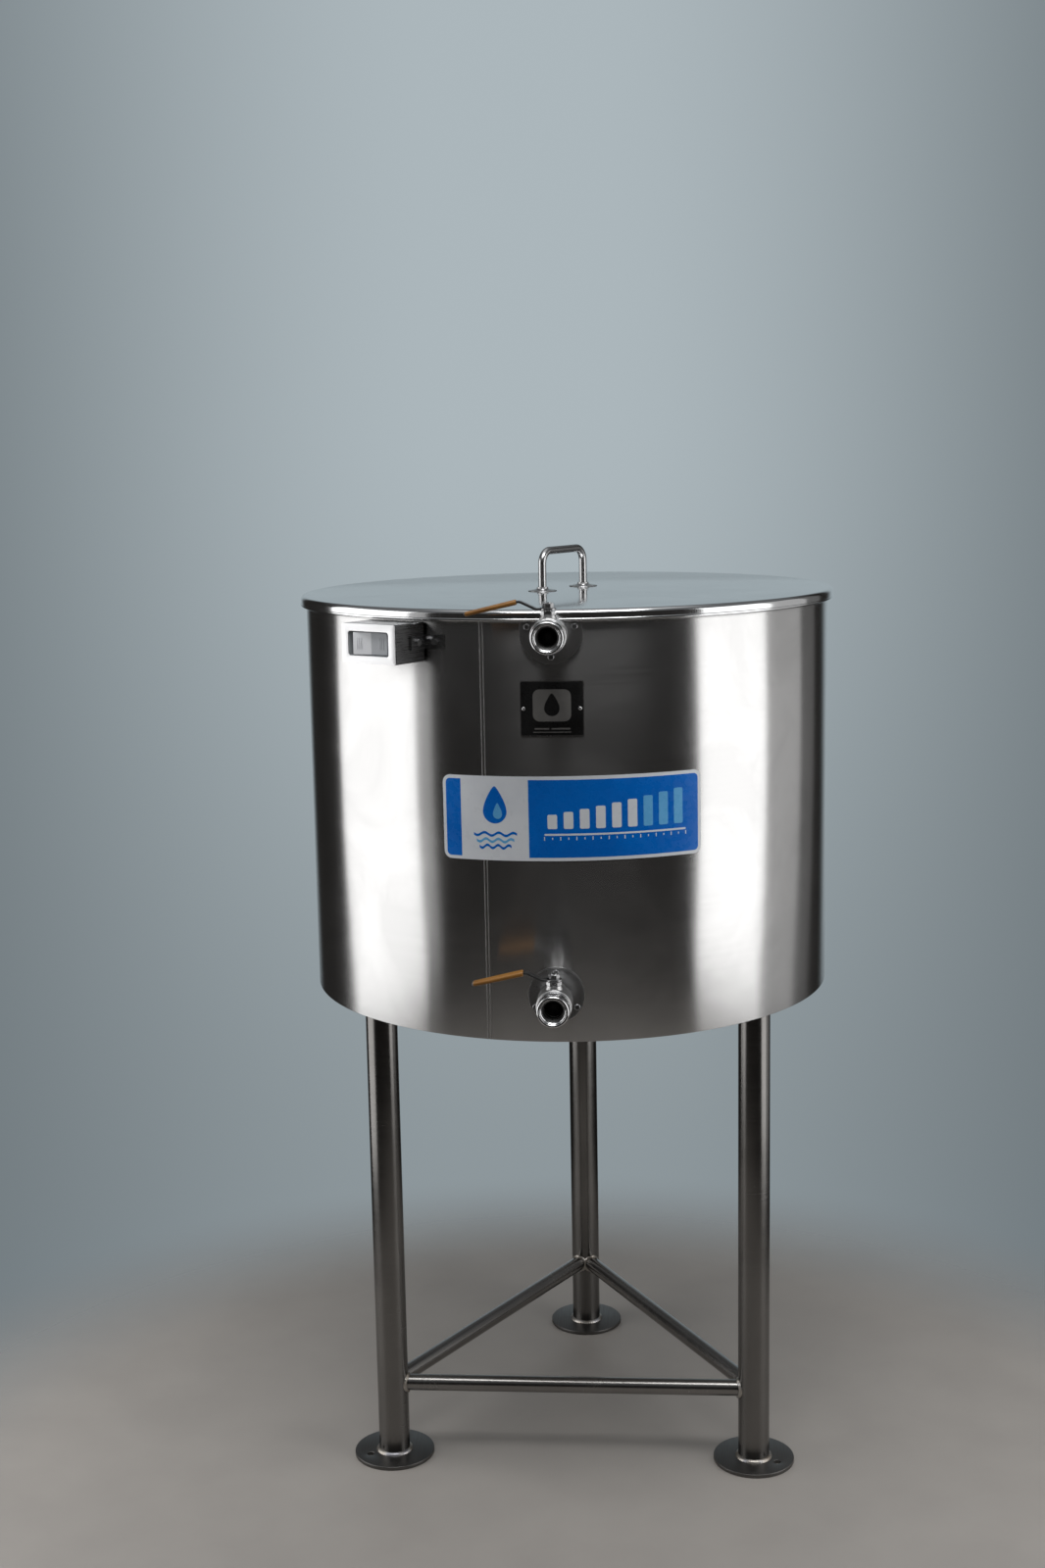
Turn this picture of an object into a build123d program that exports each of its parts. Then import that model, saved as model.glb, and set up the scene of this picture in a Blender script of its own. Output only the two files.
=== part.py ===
from build123d import *

import os
from math import asin, atan2, cos, degrees, hypot, radians, sin, tan

# Insulated bulk milk tank: a double-walled drum on three braced tube legs, with a loose lid, a ball
# valve near the rim, a ball valve at the low point of the floor, and a switch box under the rim.
# Millimetres. The origin is on the floor, on the drum's axis. +Z is up and the valves face -Y.

os.makedirs("parts", exist_ok=True)

# ---- drum ----
drum_diameter = 800.0
drum_height = 599.0
stand_height = 748.0  # floor to the drum's underside
shell_wall = 1.5
bottom_plate_thickness = 2.0
top_ring_thickness = 2.0
seam_azimuth = -13.85  # degrees from the front, positive to the right
seam_width = 6.0
seam_height = 0.6

# ---- vessel ----
side_thickness = 50.0  # outside of the drum to inside of the vessel
vessel_wall = 2.0
floor_slope = 1.2  # degrees, falling to the front
foam_gap = 0.2

# ---- lid ----
lid_overhang = 9.0
lid_sheet = 1.5
lid_skirt = 16.0
lid_shoulder_radius = 7.0
hem_radius = 2.4
hem_proud = 0.8
gasket_thickness = 4.2
gasket_width = 14.0
gasket_inset = 8.0
lid_pan_depth = 22.0
lid_pan_wall = 1.2
lid_pan_clearance = 10.0
seat_gap = 0.3

# ---- lid handle ----
handle_centres = 116.0
handle_rod_diameter = 12.0
handle_height = 60.0
handle_bend_radius = 20.0
handle_turn = 60.5  # degrees from the X axis
handle_offset = -4.5  # of the handle's middle from the lid's, along X
handle_stud_diameter = 8.0
handle_stud_length = 14.0
flange_disc_diameter = 44.0
flange_disc_thickness = 1.4
flange_disc_rise = 2.6
flange_hub_diameter = 17.0
flange_hub_height = 6.0
handle_nut_width = 13.0
handle_nut_height = 6.5

# ---- stand ----
leg_inset = 73.0  # from the drum's outside to a leg's axis
leg_diameter = 48.3
leg_wall = 2.0
foot_diameter = 125.0
foot_thickness = 6.0
anchor_hole_diameter = 11.0
anchor_hole_edge = 21.5
pad_diameter = 90.0
pad_thickness = 4.0
brace_diameter = 25.0
brace_wall = 1.5
brace_z = 118.0
weld_size = 4.0
leg_azimuths = {"left": 210.0, "right": 330.0, "back": 90.0}

# ---- valves ----
outlet_height = 68.0  # above the drum's underside
inlet_lid_gap = 1.0
pipe_diameter = 28.0
pipe_wall = 1.5
plate_thickness = 3.0
inlet_plate_diameter = 86.0
outlet_plate_diameter = 78.0
plate_gasket_thickness = 1.0
plate_screw_circle = 33.0
plate_lid_gap = 1.5
screw_lid_gap = 2.5
plate_screw_diameter = 5.0
screw_head_diameter = 9.0
screw_head_height = 2.6
screw_length = 12.0
screw_socket_width = 3.0
neck_length = 8.0
thread_room = 1.15  # from the pipe to the socket, taken up by the thread
valve_socket_depth = 17.0
socket_wall = 5.85  # at the flats of the octagon
octagon_overlap = 1.0
ball_wall = 4.5  # beside the bore, measured from its side to the ball's
seat_depth = 7.0  # how far a seat's inner face lies behind the ball's end
seat_room = 2.5
barrel_wall = 5.0
cap_collar = 5.5
seat_thickness = 5.5
seat_clearance = 0.2
stem_diameter = 10.0
stem_clearance = 0.15
stem_collar_diameter = 13.6
boss_diameter = 20.0
boss_rise = 11.0  # above the ball's top
packing_diameter = 14.8
packing_depth = 7.0
packing_height = 3.0
gland_width = 18.0
gland_height = 5.0
lever_width = 14.0
lever_thickness = 3.0
lever_clearance = 1.0
lever_eye_diameter = 22.0
lever_flat = 16.0
lever_bend_x = 38.0
lever_bend_rise = 10.5
lever_reach = 112.0
lever_tip_drop = 6.0
lever_bend_radius = 8.0
lever_nut_width = 13.0
lever_nut_height = 6.5
grip_width = 16.5
grip_thickness = 7.0
grip_length = 72.0

# ---- switch box ----
box_azimuth = -32.8
box_width = 95.0
box_height = 54.5
box_lid_gap = 2.0
box_reach = 63.0
box_standoff = 1.0
box_wall = 1.5
box_cover_thickness = 2.0
box_gasket_thickness = 1.6
box_gasket_inset = 2.0
window_side = 11.0
window_edge = 10.25
window_radius = 4.0
rocker_side_gap = 8.0
rocker_edge_gap = 1.75
rocker_tilt = 6.0
rocker_depth = 5.5
rocker_pivot_depth = 13.0
rocker_pin_diameter = 5.0
switch_wall = 2.0
switch_depth = 30.0
switch_cavity_depth = 20.0
bracket_height = 20.0
bracket_thickness = 1.5
bracket_side_length = 32.0
bracket_shell_length = 30.0
bolt_diameter = 5.0
bolt_head_width = 8.0
bolt_head_height = 3.5

# ---- plates on the drum ----
nameplate_width = 87.0
nameplate_height = 76.0
nameplate_drop = 129.0  # from the drum's top to the plate's centre
nameplate_thickness = 1.0
nameplate_corner = 3.0
rivet_diameter = 3.0
rivet_head_diameter = 5.0
rivet_inset = 5.0
label_width = 370.0
label_height = 118.0
label_drop = 281.5
label_azimuth = 3.7
label_tilt = 0.2
label_thickness = 0.9
label_corner = 11.0

touch_gap = 0.05
cut_margin = 20.0

# ---- sizes that follow ----
shell_radius = drum_diameter / 2
vessel_radius = shell_radius - side_thickness
drum_bottom_z = stand_height
drum_top_z = drum_bottom_z + drum_height
vessel_outer_radius = vessel_radius + vessel_wall
shell_top_z = drum_top_z - top_ring_thickness
pipe_radius = pipe_diameter / 2
pipe_bore_diameter = pipe_diameter - 2 * pipe_wall
valve_bore_diameter = pipe_bore_diameter
valve_socket_diameter = pipe_diameter + 2 * thread_room
octagon_width = valve_socket_diameter + 2 * socket_wall
ball_diameter = valve_bore_diameter + 2 * ball_wall
outlet_z = drum_bottom_z + outlet_height
floor_low_z = outlet_z - pipe_bore_diameter / 2
gasket_in = shell_radius + touch_gap
plate_in = gasket_in + plate_gasket_thickness
plate_front = plate_in + plate_thickness
seat_face = ball_diameter / 2 - seat_depth + seat_thickness
valve_half_length = seat_face + cap_collar + valve_socket_depth
barrel_radius = ball_diameter / 2 + seat_room + barrel_wall
boss_height = ball_diameter / 2 + boss_rise
ball_reach = plate_front + neck_length + valve_half_length
lid_radius = shell_radius + lid_overhang
lid_top_z = drum_top_z + seat_gap + gasket_thickness + lid_sheet
lid_bottom_z = lid_top_z - lid_skirt
inlet_z = lid_bottom_z - inlet_lid_gap - pipe_radius
box_front = shell_radius + box_reach
box_z = lid_bottom_z - box_lid_gap - box_height / 2
window_width = box_width - 2 * window_side
window_height = box_height - 2 * window_edge
leg_reach = shell_radius - leg_inset
leg_radius = leg_diameter / 2
leg_top_z = drum_bottom_z - pad_thickness
nameplate_z = drum_top_z - nameplate_drop
label_z = drum_top_z - label_drop


def upright(radius, z_low, z_high, x=0.0, y=0.0):
    """A vertical cylinder between two heights."""
    return Pos(x, y, (z_low + z_high) / 2) * Cylinder(radius, z_high - z_low)


def ring(outer, inner, z_low, z_high, x=0.0, y=0.0):
    """A vertical tube or flat ring."""
    margin = 1.0
    return upright(outer, z_low, z_high, x, y) - upright(inner, z_low - margin, z_high + margin, x, y)


def along_y(radius, y_low, y_high, x=0.0, z=0.0):
    """A cylinder that lies along Y."""
    return Pos(x, (y_low + y_high) / 2, z) * Rot(90, 0, 0) * Cylinder(radius, y_high - y_low)


def prism_along_y(sides, width, y_low, y_high, turn=0.0):
    """A regular prism along Y, with its size across flats."""
    flat = RegularPolygon(width / 2, sides, major_radius=False, rotation=turn)
    plane = Plane(origin=(0, y_high, 0), x_dir=(1, 0, 0), z_dir=(0, -1, 0))
    return extrude(plane * flat, amount=y_high - y_low)


def hexagon(width, z_low, z_high):
    """An upright hexagonal prism, with its size across flats."""
    return Pos(0, 0, z_low) * extrude(RegularPolygon(width / 2, 6, major_radius=False), z_high - z_low)


def block(x_low, x_high, y_low, y_high, z_low, z_high):
    """A box between two corners."""
    centre = Pos((x_low + x_high) / 2, (y_low + y_high) / 2, (z_low + z_high) / 2)
    return centre * Box(x_high - x_low, y_high - y_low, z_high - z_low)


def at_azimuth(azimuth, shape):
    """Turns a shape made at the front round the drum's axis. Positive is to the right."""
    return Rot(0, 0, azimuth) * shape


def wrapped(inner, outer, outline, z):
    """A sheet that lies round the drum: an outline in X and Z, cut from a ring."""
    reach = Plane(origin=(0, 0, z), x_dir=(1, 0, 0), z_dir=(0, -1, 0)) * outline
    column = extrude(reach, amount=outer + cut_margin)
    height = outline.bounding_box().size.Y
    return ring(outer, inner, z - height, z + height) & column


def solids_of(*shapes):
    """Several solids as one compound."""
    return Compound(children=[solid for shape in shapes for solid in shape.solids()])


def through_wall(azimuth, x, z, radius, depth_in, depth_out):
    """A radial hole tool at a point on the drum, given by its azimuth and an offset along the tangent."""
    turn = azimuth + degrees(atan2(x, shell_radius))
    tool = along_y(radius, -shell_radius - depth_out, -shell_radius + depth_in, 0, z)
    return at_azimuth(turn, tool)


# ---- drum, vessel and insulation ----
def pipe_envelope(z):
    """The outside of a stub pipe, from flush with the vessel's inner wall to its end in the valve."""
    start = ball_reach - valve_half_length
    rod = along_y(pipe_radius, -start - 2, -vessel_radius + cut_margin, 0, z)
    rod += along_y(valve_socket_diameter / 2 - touch_gap, -start - valve_socket_depth + 1, -start, 0, z)
    return rod - upright(vessel_radius, z - 2 * pipe_radius, z + 2 * pipe_radius)


def floor_slab(z_offset, thickness):
    """A thick sloping slab whose top passes through the low point of the floor."""
    size = 2 * drum_diameter
    slab = Pos(0, 0, z_offset - thickness / 2) * Box(size, size, thickness)
    return Pos(0, -vessel_radius, floor_low_z) * Rot(floor_slope, 0, 0) * slab


def screw_places(z, angles):
    """The plate screws' centres as tangent offset and height."""
    return [(plate_screw_circle * cos(radians(a)), z + plate_screw_circle * sin(radians(a))) for a in angles]


def drum_bolt_offset():
    """The drum-side bracket bolts' tangent offset from the box's centre."""
    return box_width / 2 + (bracket_thickness + bracket_shell_length) / 2 + 1.0


def wall_holes(radius_gap, depth_in):
    """Every fastener hole through the drum's wall, as one list of tools."""
    tools = []
    for z, angles in ((inlet_z, inlet_screw_angles), (outlet_z, outlet_screw_angles)):
        for x, height in screw_places(z, angles):
            radius = plate_screw_diameter / 2 + radius_gap
            tools.append(through_wall(0, x, height, radius, depth_in, cut_margin))
    for side in (-1, 1):
        x, radius = side * drum_bolt_offset(), bolt_diameter / 2 + radius_gap
        tools.append(through_wall(box_azimuth, x, box_z, radius, depth_in, cut_margin))
        x = side * (nameplate_width / 2 - rivet_inset)
        radius = rivet_diameter / 2 + radius_gap
        tools.append(through_wall(0, x, nameplate_z, radius, depth_in, cut_margin))
    return tools


inlet_screw_rise = lid_bottom_z - screw_lid_gap - screw_head_diameter / 2 - inlet_z
inlet_screw_angle = degrees(asin(inlet_screw_rise / plate_screw_circle))
inlet_screw_angles = (-90, inlet_screw_angle, 180 - inlet_screw_angle)
outlet_screw_angles = (-30, 90, 210)
pipes = {"inlet": pipe_envelope(inlet_z), "outlet": pipe_envelope(outlet_z)}


def make_shell():
    wall = ring(shell_radius, shell_radius - shell_wall, drum_bottom_z, shell_top_z)
    bead = ring(shell_radius + seam_height, shell_radius - shell_wall / 2, drum_bottom_z, shell_top_z - 1)
    half = seam_width / 2
    near, far = -shell_radius - cut_margin, -shell_radius + cut_margin
    strip = block(-half, half, near, far, drum_bottom_z, shell_top_z)
    shell = wall + (bead & strip).rotate(Axis.Z, seam_azimuth)
    for pipe in pipes.values():
        shell -= pipe
    for hole in wall_holes(0.1, cut_margin):
        shell -= hole
    return shell


def make_insulation(floor_top):
    outer = shell_radius - shell_wall - foam_gap
    low = drum_bottom_z + bottom_plate_thickness + foam_gap
    foam = upright(outer, low, shell_top_z - foam_gap)
    cavity = upright(vessel_outer_radius + foam_gap, low - 1, shell_top_z + 1)
    foam -= cavity - floor_top
    for pipe in pipes.values():
        foam -= pipe
    for hole in wall_holes(0.3, cut_margin):
        foam -= hole
    return foam


def make_drum():
    below_floor = floor_slab(-vessel_wall - foam_gap, drum_diameter)
    inside_top = floor_slab(0, drum_diameter)
    wall = ring(vessel_outer_radius, vessel_radius, drum_bottom_z, shell_top_z) - inside_top
    floor = upright(vessel_outer_radius, drum_bottom_z, shell_top_z) & floor_slab(0, vessel_wall)
    for pipe in pipes.values():
        wall -= pipe
    floor -= pipes["outlet"]
    return {
        "outer_shell": make_shell(),
        "vessel_wall": wall,
        "vessel_floor": floor,
        "insulation": make_insulation(below_floor),
        "bottom_plate": upright(
            shell_radius - shell_wall - touch_gap, drum_bottom_z, drum_bottom_z + bottom_plate_thickness
        ),
        "top_ring": ring(shell_radius, vessel_radius, shell_top_z, drum_top_z),
    }


# ---- lid ----
def make_lid_cover():
    skirt_radius = lid_radius - hem_proud
    outer = upright(skirt_radius, lid_bottom_z + hem_radius, lid_top_z)
    outer = fillet(outer.edges().sort_by(Axis.Z)[-1], lid_shoulder_radius)
    inner = upright(skirt_radius - lid_sheet, lid_bottom_z - 1, lid_top_z - lid_sheet)
    inner = fillet(inner.edges().sort_by(Axis.Z)[-1], lid_shoulder_radius - lid_sheet)
    hem = Pos(0, 0, lid_bottom_z + hem_radius) * Torus(lid_radius - hem_radius, hem_radius)
    cover = outer - inner + hem
    for x, y in handle_places():
        cover -= upright(handle_stud_diameter / 2 + 0.2, lid_bottom_z, lid_top_z + 1, x, y)
    return cover


def handle_places():
    half = handle_centres / 2
    along = (half * cos(radians(handle_turn)), half * sin(radians(handle_turn)))
    return [(handle_offset - along[0], -along[1]), (handle_offset + along[0], along[1])]


def make_handle():
    half = handle_centres / 2
    top = lid_top_z + handle_height
    base = lid_top_z + flange_disc_thickness
    path = FilletPolyline(
        (-half, 0, base), (-half, 0, top), (half, 0, top), (half, 0, base), radius=handle_bend_radius
    )
    rod = sweep(Plane(origin=path @ 0, z_dir=path % 0) * Circle(handle_rod_diameter / 2), path)
    for x in (-half, half):
        rod += upright(handle_stud_diameter / 2, lid_top_z - lid_sheet - handle_stud_length, base + 1, x)
    return Pos(handle_offset, 0, 0) * rod.rotate(Axis.Z, handle_turn)


def make_handle_flange(x, y):
    disc = flange_disc_diameter / 2
    hub = flange_hub_diameter / 2
    rod = handle_rod_diameter / 2 + touch_gap
    stud = handle_stud_diameter / 2 + touch_gap
    rim, rise, high = flange_disc_thickness, flange_disc_rise, flange_hub_height
    profile = Polyline(
        (stud, 0), (disc, 0), (disc, rim * 0.6), (disc - 2, rim), (hub + 2, rise + 0.4),
        (hub, rise + 1.4), (hub, high - 0.8), (hub - 0.8, high), (rod, high), (rod, rim), (stud, rim),
        close=True
    )
    face = make_face(Plane.XZ * profile)
    return Pos(x, y, lid_top_z) * revolve(face, Axis.Z)


def make_lid():
    under = lid_top_z - lid_sheet
    pan_radius = vessel_radius - lid_pan_clearance
    pan_low = under - lid_pan_depth
    pan = upright(pan_radius, pan_low, under - touch_gap)
    pan -= upright(pan_radius - lid_pan_wall, pan_low + lid_pan_wall, under + 1)
    foam = upright(pan_radius - lid_pan_wall - foam_gap, pan_low + lid_pan_wall + foam_gap, under - foam_gap)
    nuts = []
    for x, y in handle_places():
        foam -= upright(handle_nut_width * 0.7, pan_low, under, x, y)
        nut = hexagon(handle_nut_width, under - touch_gap - handle_nut_height, under - touch_gap)
        nut -= upright(handle_stud_diameter / 2 + touch_gap, pan_low, under + 1)
        nuts.append(Pos(x, y, 0) * nut)
    gasket_out = shell_radius - gasket_inset
    gasket = ring(gasket_out, gasket_out - gasket_width, under - gasket_thickness, under - touch_gap)
    return {
        "lid_cover": make_lid_cover(),
        "lid_pan": pan,
        "lid_foam": foam.solids().sort_by(SortBy.VOLUME)[-1],
        "lid_gasket": gasket,
        "lid_handle": make_handle(),
        "handle_flanges": solids_of(*(make_handle_flange(x, y) for x, y in handle_places())),
        "handle_nuts": solids_of(*nuts),
    }


# ---- stand ----
def leg_place(azimuth):
    return leg_reach * cos(radians(azimuth)), leg_reach * sin(radians(azimuth))


def weld_ring(radius, z_low, z_high, x, y):
    """A fillet weld round an upright tube. It thins from z_low to z_high."""
    size = abs(z_high - z_low)
    inner = radius + touch_gap
    profile = Polyline((inner, z_low), (radius + size, z_low), (inner, z_high), close=True)
    return Pos(x, y, 0) * revolve(make_face(Plane.XZ * profile), Axis.Z)


def brace_parts(azimuth_a, azimuth_b):
    """One brace tube and the weld beads at its two ends, cut to the legs and mitred to its neighbours."""
    start, end = leg_place(azimuth_a), leg_place(azimuth_b)
    middle = ((start[0] + end[0]) / 2, (start[1] + end[1]) / 2, brace_z)
    span = hypot(end[0] - start[0], end[1] - start[1])
    lay = Pos(*middle) * Rot(0, 0, degrees(atan2(end[1] - start[1], end[0] - start[0]))) * Rot(0, 90, 0)
    outer = lay * Cylinder(brace_diameter / 2, span)
    bore = lay * Cylinder(brace_diameter / 2 - brace_wall, span + 1)
    sector = make_face(Polyline((0, 0), (2 * start[0], 2 * start[1]), (2 * end[0], 2 * end[1]), close=True))
    sector = Pos(0, 0, brace_z - 50) * extrude(sector, amount=100)
    tube = (outer - bore) & sector
    hub = lay * Cylinder(brace_diameter / 2 + weld_size, span)
    core = lay * Cylinder(brace_diameter / 2 + touch_gap, span + 1)
    beads = []
    for x, y in (start, end):
        tube -= upright(leg_radius + touch_gap, brace_z - 60, brace_z + 60, x, y)
        collar = ring(leg_radius + weld_size, leg_radius + touch_gap, brace_z - 40, brace_z + 40, x, y)
        beads.append((collar & hub & sector) - core)
    return tube, beads


def make_stand():
    nodes, pads, welds = {}, [], []
    for name, azimuth in leg_azimuths.items():
        x, y = leg_place(azimuth)
        nodes[f"leg_{name}"] = ring(leg_radius, leg_radius - leg_wall, foot_thickness, leg_top_z, x, y)
        foot = upright(foot_diameter / 2, 0, foot_thickness, x, y)
        foot = fillet(foot.edges().sort_by(Axis.Z)[-1], 1.2)
        outward = (leg_reach + foot_diameter / 2 - anchor_hole_edge) / leg_reach
        foot -= upright(anchor_hole_diameter / 2, -1, foot_thickness + 1, x * outward, y * outward)
        nodes[f"foot_plate_{name}"] = foot
        pads.append(upright(pad_diameter / 2, leg_top_z, drum_bottom_z, x, y))
        welds.append(weld_ring(leg_radius, foot_thickness, foot_thickness + weld_size, x, y))
        welds.append(weld_ring(leg_radius, leg_top_z, leg_top_z - weld_size, x, y))
    sides = {"front": ("left", "right"), "right": ("right", "back"), "left": ("back", "left")}
    for name, ends in sides.items():
        tube, beads = brace_parts(*(leg_azimuths[end] for end in ends))
        nodes[f"brace_{name}"] = tube
        welds.extend(beads)
    nodes["leg_pads"] = solids_of(*pads)
    nodes["frame_welds"] = solids_of(*welds)
    return nodes


# ---- ball valve, made about the ball's centre with the outlet along -Y ----
def make_valve_body():
    half, bore = valve_half_length, valve_bore_diameter / 2
    body = prism_along_y(8, octagon_width, seat_face, half, 22.5)
    body += along_y(barrel_radius, -seat_face, seat_face + barrel_wall)
    body += upright(boss_diameter / 2, 0, boss_height)
    body -= along_y(ball_diameter / 2 + seat_room, -seat_face - 1, seat_face)
    body -= along_y(bore, -half, half + 1)
    body -= along_y(valve_socket_diameter / 2, half - valve_socket_depth, half + 1)
    body -= upright(stem_diameter / 2 + stem_clearance, 0, boss_height + 1)
    body -= upright(stem_collar_diameter / 2 + stem_clearance, 0, collar_top_z() + 0.2)
    body -= upright(packing_diameter / 2, boss_height - packing_depth, boss_height + 1)
    return body


def collar_top_z():
    return ball_diameter / 2 + 3.2


def make_valve_cap():
    half, bore = valve_half_length, valve_bore_diameter / 2
    root = -seat_face - cap_collar
    cap = prism_along_y(8, octagon_width, -half, root + octagon_overlap, 22.5)
    cap += along_y(barrel_radius - 1.5, root, -seat_face - touch_gap)
    cap -= along_y(bore, -half - 1, 0)
    cap -= along_y(valve_socket_diameter / 2, -half - 1, root)
    rim = along_y(octagon_width / 2 + 0.9, -half, root)
    turned = fillet(rim.edges().sort_by(Axis.Y)[0], 1.8)
    rest = cap & block(-60, 60, root, 0, -60, 60)
    return (cap & turned) + rest


def make_valve_seals():
    inner = valve_bore_diameter / 2 + 0.1
    outer = ball_diameter / 2 + seat_room - 0.1
    ball_room = Sphere(ball_diameter / 2 + seat_clearance)
    near = seat_face - seat_thickness
    far = seat_face - touch_gap
    seats = []
    for low, high in ((near, far), (-far, -near)):
        seats.append(along_y(outer, low, high) - along_y(inner, low - 1, high + 1) - ball_room)
    low = boss_height - packing_depth
    packing_radius = packing_diameter / 2 - 0.1
    packing = ring(packing_radius, stem_diameter / 2 + stem_clearance, low, low + packing_height)
    return solids_of(*seats, packing)


def make_valve_ball():
    ball = Sphere(ball_diameter / 2)
    ball -= Rot(0, 90, 0) * Cylinder(valve_bore_diameter / 2, 2 * ball_diameter)
    slot = ball_diameter / 2 - 3.0
    return ball - block(-2.1, 2.1, -ball_diameter, ball_diameter, slot, ball_diameter)


def lever_plane_z():
    return boss_height + gland_height + lever_clearance


def make_valve_stem():
    base = ball_diameter / 2
    low = lever_plane_z()
    top = low + lever_thickness + lever_nut_height + 1.0
    stem = upright(stem_diameter / 2, base + 0.6, low)
    stem += upright(stem_diameter / 2 - 1.0, low - 1, top)
    stem += upright(stem_collar_diameter / 2, base + 0.9, collar_top_z())
    stem += block(-2.0, 2.0, -4.5, 4.5, base - 2.8, base + 1.5)
    return stem


def make_valve_gland():
    low = boss_height - packing_depth + packing_height + touch_gap
    nut = hexagon(gland_width, boss_height + touch_gap, boss_height + gland_height)
    nut += upright(packing_diameter / 2 - 0.1, low, boss_height + 1)
    return nut - upright(stem_diameter / 2 + stem_clearance, low - 1, boss_height + gland_height + 1)


def lever_points():
    """The lever's centreline in X and Z, from the stem to the tip."""
    z = lever_plane_z() + lever_thickness / 2
    return (0, z), (-lever_flat, z), (-lever_bend_x, z + lever_bend_rise), (-lever_reach, z - lever_tip_drop)


def grip_frame():
    """The plane across the lever where the grip starts, facing the tip, and the length to the tip."""
    _, _, bend, tip = lever_points()
    length = hypot(tip[0] - bend[0], tip[1] - bend[1])
    direction = ((tip[0] - bend[0]) / length, 0, (tip[1] - bend[1]) / length)
    back = length - grip_length
    origin = (bend[0] + direction[0] * back, 0, bend[1] + direction[2] * back)
    return Plane(origin=origin, x_dir=(0, 1, 0), z_dir=direction), grip_length


def make_valve_lever():
    points = [(x, 0, z) for x, z in lever_points()]
    path = FilletPolyline(*points, radius=lever_bend_radius)
    across = Plane(origin=path @ 0, x_dir=(0, 1, 0), z_dir=path % 0)
    lever = sweep(across * Rectangle(lever_width, lever_thickness), path)
    low = lever_plane_z()
    lever += upright(lever_eye_diameter / 2, low, low + lever_thickness)
    return lever - upright(stem_diameter / 2 - 1.0 + touch_gap, low - 1, low + lever_thickness + 1)


def make_valve_grip():
    plane, length = grip_frame()
    covered = length - 1.5
    outline = RectangleRounded(grip_width, grip_thickness, grip_thickness / 2 - 0.1)
    grip = extrude(plane * outline, amount=covered)
    ends = grip.edges().group_by(lambda edge: round(plane.to_local_coords(edge.center()).Z, 2))
    grip = fillet(ends[0] + ends[-1], 1.0)
    slot = Rectangle(lever_width + 2 * touch_gap, lever_thickness + 2 * touch_gap)
    return grip - extrude(plane.offset(-1) * slot, amount=length + 5)


def make_lever_nut():
    low = lever_plane_z() + lever_thickness + touch_gap
    nut = hexagon(lever_nut_width, low, low + lever_nut_height)
    rounding = upright(lever_nut_width / 2 + 0.9, low - 1, low + lever_nut_height)
    nut &= chamfer(rounding.edges().sort_by(Axis.Z)[-1], 1.0)
    return nut - upright(stem_diameter / 2 - 1.0 + touch_gap, low - 1, low + lever_nut_height + 1)


def make_valve(name, z, plate_diameter, screw_angles):
    """The nodes of one valve, with its stub pipe and the plate that closes round it on the drum."""
    outline = Circle(plate_diameter / 2)
    gasket = wrapped(gasket_in, gasket_in + plate_gasket_thickness - touch_gap, outline, z)
    plate = wrapped(plate_in, plate_front, outline, z)
    reach = shell_radius + cut_margin
    lid_edge = block(-reach, reach, -reach, reach, lid_bottom_z - plate_lid_gap, lid_top_z + cut_margin)
    envelope = pipes[name]
    screws = []
    for x, height in screw_places(z, screw_angles):
        turn = degrees(atan2(x, shell_radius))
        hole = through_wall(0, x, height, plate_screw_diameter / 2 + 0.1, cut_margin, cut_margin)
        gasket -= hole
        plate -= hole
        head_low, head_high = plate_front + touch_gap, plate_front + touch_gap + screw_head_height
        head = along_y(screw_head_diameter / 2, -head_high, -head_low, 0, height)
        head = fillet(head.edges().sort_by(Axis.Y)[0], 1.6)
        shank = along_y(plate_screw_diameter / 2, -head_low - 1, -head_low + screw_length, 0, height)
        socket = Pos(0, 0, height) * prism_along_y(6, screw_socket_width, -head_high - 1, -head_high + 1.5)
        screws.append(at_azimuth(turn, head + shank - socket))
    gasket = gasket - envelope - lid_edge
    plate = plate - envelope - lid_edge
    bore = along_y(pipe_bore_diameter / 2, -ball_reach, 0, 0, z)
    here = Pos(0, -ball_reach, z)
    return {
        f"{name}_pipe": envelope - bore,
        f"{name}_plate_gasket": gasket,
        f"{name}_plate": plate,
        f"{name}_plate_screws": solids_of(*screws),
        f"{name}_valve_body": here * make_valve_body(),
        f"{name}_valve_cap": here * make_valve_cap(),
        f"{name}_valve_seals": here * make_valve_seals(),
        f"{name}_valve_ball": here * make_valve_ball(),
        f"{name}_valve_stem": here * make_valve_stem(),
        f"{name}_valve_gland": here * make_valve_gland(),
        f"{name}_valve_lever": here * make_valve_lever(),
        f"{name}_valve_grip": here * make_valve_grip(),
        f"{name}_lever_nut": here * make_lever_nut(),
    }


# ---- switch box, made at the front and turned to its azimuth ----
def box_cover_back():
    return box_front - box_cover_thickness


def make_box_case():
    front = box_cover_back() - box_gasket_thickness
    back = shell_radius + box_standoff
    half_w, half_h = box_width / 2, box_height / 2
    case = block(-half_w, half_w, -front, -back, box_z - half_h, box_z + half_h)
    case = fillet(case.edges().filter_by(Axis.Y), box_wall)
    room_w, room_h = half_w - box_wall, half_h - box_wall
    case -= block(-room_w, room_w, -front - 1, -back - box_wall, box_z - room_h, box_z + room_h)
    for side in (-1, 1):
        case -= Pos(side * half_w, -side_bolt_reach(), box_z) * Rot(0, 90, 0) * Cylinder(
            bolt_diameter / 2 + 0.1, 10
        )
    return case


def side_bolt_reach():
    return shell_radius + bracket_side_length * 0.5


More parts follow.
